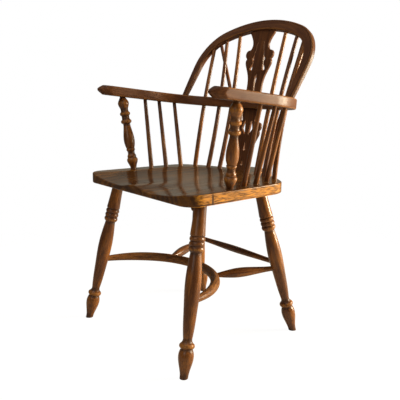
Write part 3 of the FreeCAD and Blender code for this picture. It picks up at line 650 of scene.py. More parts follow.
@dataclass(frozen=True)
class StainedGrain:
    """Stained wood's figure: growth rings, fibres and pores that run along the piece.

    Attributes:
        drift: slow noise that bends the rings.
        drift_reach: how far it bends them, metres.
        fibres: fine streaks.
        pores: short open pores.
        clouds: broad lighter and darker places.
        heart: where the tree's heart lies from the middle of the wood, metres.
        heart_along: how much the rings change along the grain.
        ring_ease: a ring's rise from dark to light.
        fibre_ease: how far fibres lighten the wood.
        cloud_ease: how far clouds lighten it.
        pore_ease: which peaks of the pore noise are pores.
        fibre_height: height of the fibres against the depth of the pores.
    """

    drift: Streak = Streak(0.16, 16.0, 3.0)
    drift_reach: float = 0.034
    fibres: Streak = Streak(0.028, 620.0, 3.0, 0.6)
    pores: Streak = Streak(0.045, 1150.0, 1.0)
    clouds: Streak = Streak(0.3, 24.0, 2.0)
    heart: Triple = (0.034, 0.021, 0.0)
    heart_along: float = 0.05
    ring_ease: Ease = Ease(-0.75, 1.0)
    fibre_ease: Ease = Ease(0.3, 0.72, -0.08, 0.36)
    cloud_ease: Ease = Ease(0.3, 0.7, -0.3, 0.3)
    pore_ease: Ease = Ease(0.56, 0.7)
    fibre_height: float = 0.35

    def group(self) -> bpy.types.NodeTree:
        """Build the shared node group.

        The ring value is a sine of the distance from the tree's heart over the ring width; that
        distance is bent by a slow noise. Rings, fibres and clouds are added to mix the two wood
        colours, and pores are mixed over them.

        Returns:
            The node group.
        """
        inputs = {"Grain": "Vector", "Ring Width": "Float", "Ring Contrast": "Float"}
        inputs |= {"Pore Strength": "Float", "Dark": "Color", "Mid": "Color", "Light": "Color"}
        tree = new_group("stained_grain", inputs, {"Color": "Color", "Height": "Float"})
        board = NodeBoard(tree)
        given = board.add("NodeGroupInput").outputs
        grain = given["Grain"]
        slow = board.streak(grain, self.drift)
        heart = board.vector("ADD", board.stretch(grain, self.heart_along), self.heart)[0]
        away = board.vector("LENGTH", heart)["Value"]
        bent = board.maths("ADD", away, board.maths("MULTIPLY", slow, self.drift_reach))
        turns = board.maths("DIVIDE", bent, given["Ring Width"])
        phase = board.maths("MULTIPLY", turns, 2.0 * math.pi)
        rings = board.ramp(board.maths("SINE", phase, 0.0), self.ring_ease)
        fibre = board.streak(grain, self.fibres)
        pores = board.ramp(board.streak(grain, self.pores), self.pore_ease)
        lift = board.maths("MULTIPLY", rings, given["Ring Contrast"])
        lift = board.maths("ADD", lift, board.ramp(fibre, self.fibre_ease))
        cloud = board.ramp(board.streak(grain, self.clouds), self.cloud_ease)
        lift = board.maths("ADD", lift, cloud, clamp=True)
        wood = board.mix(lift, given["Mid"], given["Light"])
        filled = board.maths("MULTIPLY", pores, given["Pore Strength"], clamp=True)
        stained = board.mix(filled, wood, given["Dark"])
        raised = board.maths("MULTIPLY", fibre, self.fibre_height)
        height = board.maths("SUBTRACT", raised, pores)
        board.add("NodeGroupOutput", {"Color": stained, "Height": height})
        return tree


@dataclass(frozen=True)
class HandledPolish:
    """Years of handling: stain rubbed off crests and edges, grime and old polish in grooves.

    Attributes:
        patches: noise that makes wear uneven.
        patch_middle: value of that noise that changes nothing.
        patch_reach: how far it moves the edge of the wear.
        grime_reach: how far it moves the edge of the grime, as a share of that.
        worn_ease: relief at which stain starts to go and is gone.
        flecks: short marks along the grain that keep their stain.
        fleck_ease: which of them do, and how much.
        grime_ease: depth at which grime starts and is full.
        grime_cover: how far full grime hides the wood.
        smear_ease: unevenness of the polish.
        worn_dull: roughness that wear adds.
        grime_dull: roughness that grime adds.
    """

    patches: Streak = Streak(0.45, 46.0, 4.0)
    patch_middle: float = 0.5
    patch_reach: float = 0.6
    grime_reach: float = 0.4
    worn_ease: Ease = Ease(0.3, 1.0)
    flecks: Streak = Streak(0.14, 330.0, 2.0)
    fleck_ease: Ease = Ease(0.38, 0.58, 0.2, 1.0)
    grime_ease: Ease = Ease(0.15, 0.75)
    grime_cover: float = 0.5
    smear_ease: Ease = Ease(0.25, 0.75, -0.06, 0.09)
    worn_dull: float = 0.8
    grime_dull: float = 0.22

    def group(self) -> bpy.types.NodeTree:
        """Build the shared node group.

        Worn is relief plus a patchy noise, eased in over a threshold, less short flecks along
        the grain that keep their stain; grime is the same on the reversed relief. Rubbed and grimy
        wood is duller. Worn also lays painted light, and grime painted shade, where a piece moves its
        relief for them.

        Returns:
            The node group.
        """
        inputs = {"Color": "Color", "Grain": "Vector", "Relief": "Float", "Worn Color": "Color"}
        inputs |= {"Grime Color": "Color", "Wear": "Float", "Polish": "Float"}
        tree = new_group("handled_polish", inputs, {"Color": "Color", "Roughness": "Float"})
        board = NodeBoard(tree)
        given = board.add("NodeGroupInput").outputs
        patch = board.streak(given["Grain"], self.patches)
        shift = board.maths("SUBTRACT", patch, self.patch_middle)
        shift = board.maths("MULTIPLY", shift, self.patch_reach)
        # Worn also lays painted light where a piece raises its relief for it, and grime below lays painted
        # shade where a piece lowers it.
        worn = board.ramp(board.maths("ADD", given["Relief"], shift), self.worn_ease)
        fleck = board.ramp(board.streak(given["Grain"], self.flecks), self.fleck_ease)
        worn = board.maths("MULTIPLY", worn, fleck)
        worn = board.maths("MULTIPLY", worn, given["Wear"], clamp=True)
        sunk = board.maths("MULTIPLY", shift, self.grime_reach)
        grime = board.ramp(board.maths("SUBTRACT", sunk, given["Relief"]), self.grime_ease)
        rubbed = board.mix(worn, given["Color"], given["Worn Color"])
        cover = board.maths("MULTIPLY", grime, self.grime_cover)
        dirty = board.mix(cover, rubbed, given["Grime Color"])
        rough = board.maths("ADD", given["Polish"], board.ramp(patch, self.smear_ease))
        rough = board.maths("ADD", rough, board.maths("MULTIPLY", worn, self.worn_dull))
        grimy = board.maths("MULTIPLY", grime, self.grime_dull)
        rough = board.maths("ADD", rough, grimy, clamp=True)
        board.add("NodeGroupOutput", {"Color": dirty, "Roughness": rough})
        return tree


@dataclass(frozen=True)
class Finish:
    """One stained and polished wood.

    Attributes:
        name: the material's name.
        dark: stain caught in the pores.
        mid: body of the stain.
        light: figure between the rings.
        worn: wood where the stain is rubbed through, and painted light where a piece raises its relief for
            it.
        ring_width: distance from ring to ring, metres.
        ring_contrast: strength of the rings.
        pores: strength of the pores.
        wear: how far crests are rubbed.
        polish: roughness of the polish.
        coat: weight of the clear polish over the wood.
        bump: depth of the grain's relief, metres.
        gloss: strength of the wood's own reflections under the coat.
        grime: old polish in the grooves, and painted shade where a piece lowers its relief for it.
        bump_strength: share of the grain's relief that shows.
        coat_roughness: roughness of the clear polish.
        bending: index of refraction of the polish.
    """

    name: str
    dark: Triple
    mid: Triple
    light: Triple
    worn: Triple
    ring_width: float
    ring_contrast: float
    pores: float
    wear: float
    polish: float
    coat: float
    bump: float
    gloss: float
    grime: Triple = (0.012, 0.006, 0.003)
    bump_strength: float = 0.5
    coat_roughness: float = 0.12
    bending: float = 1.5

    def material(self, grain: bpy.types.NodeTree, wear: bpy.types.NodeTree) -> bpy.types.Material:
        """Build the finish's material.

        Args:
            grain: the shared group that draws the wood.
            wear: the shared group that ages it.

        Returns:
            The material.
        """
        made = bpy.data.materials.new(self.name)
        made.use_nodes = True
        board = NodeBoard(made.node_tree)
        place = board.add("ShaderNodeAttribute", attribute_name="grain").outputs["Vector"]
        relief = board.add("ShaderNodeAttribute", attribute_name="relief").outputs["Fac"]
        values = {
            "Grain": place,
            "Ring Width": self.ring_width,
            "Ring Contrast": self.ring_contrast,
            "Pore Strength": self.pores,
            "Dark": (*self.dark, 1.0),
            "Mid": (*self.mid, 1.0),
            "Light": (*self.light, 1.0),
        }
        wood = board.add("ShaderNodeGroup", values, node_tree=grain).outputs
        values = {
            "Color": wood["Color"],
            "Grain": place,
            "Relief": relief,
            "Worn Color": (*self.worn, 1.0),
            "Grime Color": (*self.grime, 1.0),
            "Wear": self.wear,
            "Polish": self.polish,
        }
        aged = board.add("ShaderNodeGroup", values, node_tree=wear).outputs
        values = {"Strength": self.bump_strength, "Distance": self.bump, "Height": wood["Height"]}
        bump = board.add("ShaderNodeBump", values)
        values = {
            "Base Color": aged["Color"],
            "Roughness": aged["Roughness"],
            "Normal": bump.outputs["Normal"],
            "Specular IOR Level": self.gloss,
            "Coat Weight": self.coat,
            "Coat Roughness": self.coat_roughness,
            "IOR": self.bending,
        }
        shader = board.add("ShaderNodeBsdfPrincipled", values)
        board.add("ShaderNodeOutputMaterial", {"Surface": shader.outputs[0]})
        return made


FINISHES = {
    Slot.SEAT: Finish(
        name="polished_seat_board",
        dark=(0.022, 0.008, 0.003), mid=(0.056, 0.022, 0.008), light=(0.230, 0.090, 0.014),
        # The seat's worn colour is brighter than rubbed wood alone: it is also painted light on the seat's
        # side walls.
        worn=(0.86, 0.34, 0.018), ring_width=0.017, ring_contrast=0.3, pores=0.7, wear=0.8,
        polish=0.17, coat=0.05, bump=0.00003, gloss=0.13,
    ),
    Slot.TURNED: Finish(
        name="polished_turned_wood",
        dark=(0.020, 0.006, 0.002), mid=(0.094, 0.032, 0.010), light=(0.36, 0.130, 0.021),
        worn=(0.42, 0.17, 0.024), ring_width=0.008, ring_contrast=0.22, pores=0.35, wear=0.5,
        polish=0.27, coat=0.1, bump=0.00003, gloss=0.22,
    ),
    Slot.BENT: Finish(
        name="polished_bent_and_sawn_wood",
        dark=(0.022, 0.008, 0.003), mid=(0.074, 0.026, 0.011), light=(0.155, 0.059, 0.020),
        worn=(0.40, 0.17, 0.042), ring_width=0.007, ring_contrast=0.35, pores=0.4, wear=0.4,
        polish=0.36, coat=0.03, bump=0.00002, gloss=0.1,
    ),
}


def add_object(name: str, data: bpy.types.ID) -> bpy.types.Object:
    """Put an object of a mesh, curve, lamp or camera into the scene.

    Args:
        name: the object's name.
        data: what it shows.

    Returns:
        The object.
    """
    thing = bpy.data.objects.new(name, data)
    bpy.context.scene.collection.objects.link(thing)
    return thing


@dataclass
class Workshop:
    """Turns surfaces into pieces that stand for the frame's nodes.

    Attributes:
        shift: how far the chair's fit moves back to stand about the frame's origin, millimetres.
        materials: the finish of each slot.
        made: how many pieces are made, which also picks each piece's cut of the wood.
        cut_spread: how far cuts lie apart, across, through and along the wood, metres.
        merge: distance under which points are one, metres.
        sliver: length under which an edge is taken away, metres.
    """

    shift: float
    materials: dict[Slot, bpy.types.Material] = field(default_factory=dict)
    made: int = 0
    cut_spread: Triple = (0.05, 0.05, 2.0)
    merge: float = 1e-6
    sliver: float = 1e-7

    def open(self) -> None:
        """Make the shared node groups and the finishes."""
        grain, wear = StainedGrain().group(), HandledPolish().group()
        self.materials = {slot: finish.material(grain, wear) for slot, finish in FINISHES.items()}

    def settle(self, points: Array) -> Array:
        """Places in the chair's fit as places in the frame, metres, (k, 3)."""
        return (points.reshape(-1, 3) + np.array([0.0, self.shift, 0.0])) * MM

    def piece(self, node: str, points: Array, faces: list, grain: Array, relief: Array, slot: Slot,
              sharp: float = 34.0) -> None:
        """Make a piece that stands for a node.

        Args:
            node: the frame's node.
            points: places in the chair's fit, millimetres.
            faces: corner numbers of each face.
            grain: places in the wood, millimetres.
            relief: wear of each point, with painted light and shade on some pieces.
            slot: the record's material slot.
            sharp: angle over which an edge stays sharp, degrees.
        """
        self.made += 1
        mesh = bpy.data.meshes.new(node + "_piece")
        mesh.from_pydata(self.settle(points), [], faces)
        draw = np.random.default_rng(self.made).uniform(-1.0, 1.0, 3)
        place = grain.reshape(-1, 3) * MM + draw * np.array(self.cut_spread)
        where = mesh.attributes.new("grain", "FLOAT_VECTOR", "POINT")
        where.data.foreach_set("vector", place.astype(np.float32).ravel())
        worn = mesh.attributes.new("relief", "FLOAT", "POINT")
        worn.data.foreach_set("value", np.ascontiguousarray(relief, np.float32).ravel())
        clean = bmesh.new()
        clean.from_mesh(mesh)
        bmesh.ops.remove_doubles(clean, verts=clean.verts, dist=self.merge)
        bmesh.ops.dissolve_degenerate(clean, edges=clean.edges, dist=self.sliver)
        bmesh.ops.recalc_face_normals(clean, faces=clean.faces)
        clean.to_mesh(mesh)
        clean.free()
        mesh.shade_smooth()
        mesh.set_sharp_from_angle(angle=math.radians(sharp))
        mesh.materials.append(self.materials[slot])
        thing = add_object(node + "_piece", mesh)
        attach(thing, "root")
        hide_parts(node)
        LOG.info("%s: %d points in %s", thing.name, len(mesh.vertices), slot.value)

    def skin(self, node: str, skin: Skin, slot: Slot) -> None:
        """Make a piece from one surface."""
        self.piece(node, skin.points, skin.faces(), skin.grain, skin.relief, slot)

    def pair(self, node: str, skin: Skin, slot: Slot) -> None:
        """Make the left piece and its mirror image; the name has {} for the side."""
        self.skin(node.format(Side.LEFT.value), skin, slot)
        self.skin(node.format(Side.RIGHT.value), skin.mirrored(), slot)


def raised(plan: Array, heights: Array | float) -> Array:
    """Plan points with their heights as a third number."""
    return np.concatenate([plan, np.broadcast_to(heights, plan.shape[:-1])[..., None]], -1)


@dataclass
class Seat:
    """The saddled plank with its tail block.

    The sizes of its outline come first, then the saddle, then its wear with painted light and shade, and
    its mesh.
    """

    top: float = 430.0
    thick: float = 28.0
    front_y: float = -205.0
    front_half: float = 236.0
    shoulder: Place = (221.0, 108.0)
    back_y: float = 188.0
    corner_r: float = 42.0
    shoulder_r: float = 60.0
    edge_r: float = 3.0
    shoulder_room: float = 26.0
    tail_room: float = 14.0
    tail_root_half: float = 58.0
    tail_end_half: float = 48.0
    tail_end_y: float = 253.0
    tail_r: float = 16.0
    dish_depth: float = 12.0
    dish_half: float = 182.0
    dish_middle_y: float = -40.0
    dish_reach: float = 188.0
    dish_flare: float = 32.0
    dish_extra: float = 5.0
    dish_front: float = 1.05
    dish_ease: float = 0.5
    ridge_height: float = 11.0
    ridge_width: float = 40.0
    # Wear with painted light on the seat's side walls, and painted shade on its front and back walls.
    side_wear_and_light: float = 0.7
    end_painted_shade: float = 0.45
    upper_edge_wear: tuple = (0.3, 0.5, 0.6, 0.6, 0.55)
    lower_edge_wear: tuple = (0.2, 0.6, 0.9, 0.9, 0.6, 0.1)
    socket_grime: float = 0.9
    socket_reach: float = 3.0
    socket_level: float = 5.0
    joint_y: float = -136.0
    joint_width: float = 1.6
    joint_dark: float = 0.7
    joint_margin: float = 1.0
    centre_y: float = -10.0
    rim_points: int = 640
    corner_points: int = 20
    back_points: int = 60
    upper_rings: int = 90
    lower_rings: int = 40
    edge_rings: int = 6
    wall_shares: tuple = (0.15, 0.85, 6)

    def depth(self, x: Array, y: Array) -> Array:
        """Depth of the saddle under the rim.

        With f the square of how far forward a point lies and b how far back it lies, d is
        (depth + extra f)(1 - |x / half|^3 - b^3) - ridge f exp(-(x / width)^2), and the depth is
        d^2 / (d + ease) where d is over nought, so that it runs out softly.

        Args:
            x: places across.
            y: places from front to back.

        Returns:
            The depth at each place.
        """
        forward = np.maximum(0.0, (self.dish_middle_y - y) / (self.dish_middle_y - self.front_y))
        back = np.maximum(0.0, (y - self.dish_middle_y) / self.dish_reach)
        fall = np.minimum(forward, self.dish_front) ** 2
        half = self.dish_half + self.dish_flare * fall
        bowl = (self.dish_depth + self.dish_extra * fall) * (1.0 - np.abs(x / half) ** 3 - back**3)
        depth = bowl - self.ridge_height * fall * np.exp(-((x / self.ridge_width) ** 2))
        return np.where(depth > 0.0, depth * depth / (depth + self.dish_ease), 0.0)

    def rounded(self, before: Array, corner: Array, after: Array, radius: float) -> Array:
        """Corner rounded to a circle arc.

        The arc starts radius / tan(half the corner's angle) away from the corner and is drawn as
        a quadratic with the middle weight sin(half the angle).

        Args:
            before: a point on the way in.
            corner: the sharp corner.
            after: a point on the way out.
            radius: the arc's radius.

        Returns:
            Points along the arc.
        """
        way_in, way_out = unit(before - corner), unit(after - corner)
        half = math.acos(float(way_in @ way_out)) / 2.0
        reach = radius / math.tan(half)
        t = np.linspace(0.0, 1.0, self.corner_points)[:, None]
        weights = np.concatenate([(1 - t) ** 2, 2 * t * (1 - t) * math.sin(half), t**2], 1)
        points = np.stack([corner + way_in * reach, corner, corner + way_out * reach])
        return weights @ points / weights.sum(1, keepdims=True)

    def rim(self) -> Array:
        """Outline of the plank seen from above.

        Straight front and sides, a circle arc behind, y = middle + sqrt(r^2 - x^2), the tail
        block, and rounded corners between them; one half is drawn and mirrored.

        Returns:
            Points of the closed outline, evenly spaced, (m, 2).
        """
        drop = self.back_y - self.shoulder[1]
        back_r = (self.shoulder[0] ** 2 + drop**2) / (2.0 * drop)
        middle = self.back_y - back_r

        def back(x: Array) -> Array:
            """Points of the round back."""
            return np.stack([x, middle + np.sqrt(back_r**2 - x**2)], -1)

        start = np.array([0.0, self.front_y])
        front = np.array([self.front_half, self.front_y])
        shoulder = back(np.array(self.shoulder[0]))
        root = back(np.array(self.tail_root_half))
        tail = np.array([self.tail_end_half, self.tail_end_y])
        end = np.array([0.0, self.tail_end_y])
        first = self.shoulder[0] - self.shoulder_room
        curve = back(np.linspace(first, self.tail_root_half + self.tail_room, self.back_points))
        half = np.concatenate([
            start[None],
            self.rounded(start, front, shoulder, self.corner_r),
            self.rounded(front, shoulder, curve[0], self.shoulder_r),
            curve,
            self.rounded(curve[-1], root, tail, self.tail_r),
            self.rounded(root, tail, end, self.tail_r),
            end[None],
        ])
        loop = np.concatenate([half, half[-2:0:-1] * FLIP])
        closed = np.concatenate([loop, loop[:1]])
        at = path_length(closed)
        wanted = np.linspace(0.0, at[-1], self.rim_points, endpoint=False)
        return np.stack([np.interp(wanted, at, closed[:, k]) for k in range(2)], -1)

    def skin(self, sockets: Array) -> Skin:
        """The plank's surface: rings that shrink to the middle above and below.

        A ring of the top is centre + (rim - centre) share; the edges are quarter circles. The
        long grain on the sides is rubbed and lightened further as painted light; the end grain at
        front and back is darkened as painted shade.

        Args:
            sockets: across, back and radius of each stick that stands in the seat, (k, 3).

        Returns:
            The surface.
        """
        rim = self.rim()
        along = np.roll(rim, -1, 0) - np.roll(rim, 1, 0)
        outward = unit(np.stack([along[:, 1], -along[:, 0]], -1))
        sides = outward[:, 0] ** 2
        low = self.top - self.thick
        centre = np.array([0.0, self.centre_y])
        inner = rim - outward * self.edge_r - centre
        turn = np.linspace(0.0, QUARTER, self.edge_rings)[:, None]
        out_by_sine = rim - outward * (self.edge_r * (1.0 - np.sin(turn)))[..., None]
        out_by_cosine = rim - outward * (self.edge_r * (1.0 - np.cos(turn)))[..., None]
        upper = centre + inner * np.sqrt(np.linspace(0.0, 1.0, self.upper_rings))[:, None, None]
        drop = self.depth(upper[..., 0], upper[..., 1])
        fall = self.edge_r * (1.0 - np.cos(turn))
        wall_top = self.top - drop[-1] - self.edge_r
        wall = wall_top + (low + self.edge_r - wall_top) * np.linspace(*self.wall_shares)[:, None]
        lift = low + self.edge_r * (1.0 - np.sin(turn))
        below = centre + inner * np.linspace(1.0, 0.0, self.lower_rings)[1:, None, None]
        points = np.concatenate([
            raised(upper, self.top - drop),
            raised(out_by_sine, self.top - drop[-1] - fall)[1:],
            raised(np.broadcast_to(rim, (*wall.shape, 2)), wall),
            raised(out_by_cosine, lift),
            raised(below, low),
        ])
        # Painted light and shade: the side walls are worn and lightened further as painted light, the front
        # and back walls darkened as painted shade.
        wall_wear_light_and_shade = self.side_wear_and_light * sides - self.end_painted_shade * (1.0 - sides)
        relief = np.concatenate([
            np.zeros(drop.shape),
            np.array(self.upper_edge_wear)[:, None] * sides,
            np.broadcast_to(wall_wear_light_and_shade, wall.shape),
            np.array(self.lower_edge_wear)[:, None] * sides,
            np.zeros(below.shape[:2]),
        ])
        height = points[..., 2]
        for x, y, radius in sockets:
            gap = np.hypot(points[..., 0] - x, points[..., 1] - y) - radius
            near = np.exp(-(np.maximum(gap, 0.0) / self.socket_reach))
            relief = relief - self.socket_grime * near * (height > low + self.socket_level)
        joint = np.exp(-(((points[..., 1] - self.joint_y) / self.joint_width) ** 2))
        on_wall = (height < wall_top.max() + self.joint_margin) & (height > low)
        relief = relief - self.joint_dark * joint * on_wall
        grain = np.stack([points[..., 0], height - low, points[..., 1]], -1)
        return Skin(points, grain, relief)

    def build(self, shop: Workshop, sockets: Array) -> None:
        """Make and dress the seat."""
        shop.skin("seat", self.skin(sockets), Slot.SEAT)


@dataclass(frozen=True)
class LegLine:
    """Axis of a leg.

    Attributes:
        foot: where it meets the floor, across and back.
        top: where it passes the level under the seat, across and back.
        ankle: how far up the axis the ankle ring lies.
        level: height of the level under the seat.
    """

    foot: Place
    top: Place
    ankle: float
    level: float = 395.0

    def start(self) -> Array:
        """Floor point of the leg."""
        return np.array([*self.foot, 0.0])

    def way(self) -> Array:
        """Unit vector up the leg."""
        return unit(np.array([*self.top, self.level]) - self.start())

    def at(self, height: float) -> Array:
        """Point of the axis at a height."""
        return self.start() + self.way() * (height / self.way()[2])


@dataclass
class Undercarriage:
    """Four turned legs, the bent crinoline hoop, its spurs and the rear stretcher.

    A profile has the share, shift and radius of each point, as turned_runs reads them. The leg's
    is in shares of the ankle's height, the spur's of its length, the rail's of half its length.
    """

    seat: Seat
    front: LegLine = LegLine((228.8, -213.5), (184.9, -132.9), 75.9)
    back: LegLine = LegLine((198.5, 193.5), (140.5, 107.5), 81.0)
    leg_profile: Profile = (
        ((0.0, -8.3, 11.4),),
        ((0.4, 0.0, 15.4), (0.69, 0.0, 18.6), (0.896, 0.0, 14.4)),
        ((1.0, -6.5, 14.8),),
        ((1.0, -0.5, 18.6), (1.0, 5.5, 15.6)),
        ((1.0, 9.0, 12.6), (1.0, 16.0, 11.0)),
        ((1.0, 45.0, 14.1), (1.0, 90.0, 16.8), (1.0, 148.0, 19.3), (1.0, 194.0, 16.4),
         (1.0, 217.0, 13.6)),
    )
    rings: int = 3
    ring_pitch: float = 11.8
    rings_gap: float = 3.4
    ring_r: float = 18.8
    ring_root_r: float = 16.2
    flare_r: float = 18.4
    waist_r: float = 16.7
    leg_top_r: float = 15.0
    let_in: float = 6.0
    flat_in: float = 0.5
    flat_rise: float = 12.0
    # Painted shade at the feet, and how far up the leg it reaches.
    foot_painted_shade: float = 0.6
    foot_reach: float = 22.0
    hoop_z: float = 174.5
    hoop_r: float = 12.4
    hoop_end_r: float = 7.0
    hoop_bend: float = 210.9
    hoop_taper: float = 40.0
    hoop_wear: float = 0.9
    hoop_points: int = 160
    spur_angle: float = 62.3
    spur_back_z: float = 182.0
    spur_profile: Profile = (
        ((0.0, 6.0, 6.2),),
        ((0.0, 14.0, 6.2),),
        ((0.216, 0.0, 10.4), (0.36, 0.0, 13.0), (0.62, 0.0, 10.6), (1.0, -22.0, 6.8)),
        ((1.0, -6.0, 6.8),),
    )
    rail_z: float = 196.0
    rail_profile: Profile = (
        ((-1.0, 6.0, 6.6),),
        ((-1.0, 20.0, 6.6),),
        ((-0.4, 0.0, 8.6), (0.0, 0.0, 9.8), (0.4, 0.0, 8.6), (1.0, -20.0, 6.6)),
        ((1.0, -6.0, 6.6),),
    )

    def leg(self, line: LegLine) -> Skin:
        """Turned leg, cut level at the floor.

        Points under the floor slide up along the axis to it and in towards the leg's middle, by
        up to half, so that they make the flat of the foot. The leg is darkened towards the floor as
        painted shade.

        Args:
            line: the leg's axis.

        Returns:
            The leg's surface.
        """
        way = line.way()
        seat = (self.seat.top - self.seat.thick) / way[2]
        runs = turned_runs(self.leg_profile, line.ankle)
        edge = runs[-1][-1][0] + self.rings_gap
        runs.append([runs[-1][-1], (edge, self.ring_root_r)])
        for _ in range(self.rings):
            crown, after = edge + self.ring_pitch / 2, edge + self.ring_pitch
            runs.append([runs[-1][-1], (crown, self.ring_r), (after, self.ring_root_r)])
            edge = after
        flare = edge + self.rings_gap
        runs.append([runs[-1][-1], (flare, self.flare_r)])
        runs.append([runs[-1][-1], ((2.0 * flare + seat) / 3.0, self.waist_r), (seat, self.leg_top_r)])
        runs.append([runs[-1][-1], (seat + self.let_in, self.leg_top_r)])
        made = lathe(line.start(), way, runs)
        rise = np.maximum(0.0, -made.points[..., 2:])
        made.points = made.points + rise * way / way[2]
        share = np.minimum(self.flat_in, rise / self.flat_rise)
        made.points = made.points - share * (made.points - line.start()) * np.array([1.0, 1.0, 0.0])
        # Painted shade: the leg grows darker towards the floor, most at the foot.
        made.relief = made.relief - self.foot_painted_shade * np.exp(-made.points[..., 2] / self.foot_reach)
        return made

    def hoop_start(self) -> tuple[Array, float]:
        """Where the hoop's bend is drawn from.

        Returns:
            Centre of the bend, and the angle at which the hoop leaves the left front leg.
        """
        end = self.front.at(self.hoop_z)
        centre = np.array([0.0, end[1] - math.sqrt(self.hoop_bend**2 - end[0] ** 2), self.hoop_z])
        return centre, math.atan2(end[1] - centre[1], end[0])

    def hoop_at(self, angle: Array) -> Array:
        """Points of the hoop's middle line: centre + bend (cos, sin, 0)."""
        centre, _ = self.hoop_start()
        return centre + self.hoop_bend * np.stack([np.cos(angle), np.sin(angle), 0.0 * angle], -1)

    def hoop(self) -> Skin:
        """Bent hoop, rubbed by heels, tapering to its ends: the radius swells by a quarter sine.

        Returns:
            The hoop's surface.
        """
        _, first = self.hoop_start()
        angle = np.linspace(first, math.pi - first, self.hoop_points)
        near = np.minimum(angle - first, math.pi - first - angle) / math.radians(self.hoop_taper)
        swell = np.sin(np.minimum(1.0, near) * QUARTER)
        radius = self.hoop_end_r + (self.hoop_r - self.hoop_end_r) * swell
        return round_bar(self.hoop_at(angle), radius, np.full(len(angle), self.hoop_wear))

    def spur(self) -> Skin:
        """Turned spur from the hoop to the back leg.

        Returns:
            The spur's surface.
        """
        start = self.hoop_at(np.array(math.radians(self.spur_angle)))
        run = self.back.at(self.spur_back_z) - start
        return lathe(start, run, turned_runs(self.spur_profile, float(np.linalg.norm(run))))

    def rail(self) -> Skin:
        """Straight rail between the back legs, fullest in the middle.

        Returns:
            The rail's surface.
        """
        half, back, _ = self.back.at(self.rail_z)
        middle = np.array([0.0, back, self.rail_z])
        return lathe(middle, np.array([1.0, 0.0, 0.0]), turned_runs(self.rail_profile, float(half)))

    def build(self, shop: Workshop) -> None:
        """Make and dress the legs and stretchers.

        Args:
            shop: the workshop.
        """
        shop.pair("front_{}_leg", self.leg(self.front), Slot.TURNED)
        shop.pair("back_{}_leg", self.leg(self.back), Slot.TURNED)
        shop.skin("crinoline_stretcher", self.hoop(), Slot.BENT)
        shop.pair("{}_spur", self.spur(), Slot.TURNED)
        shop.skin("rear_stretcher", self.rail(), Slot.TURNED)


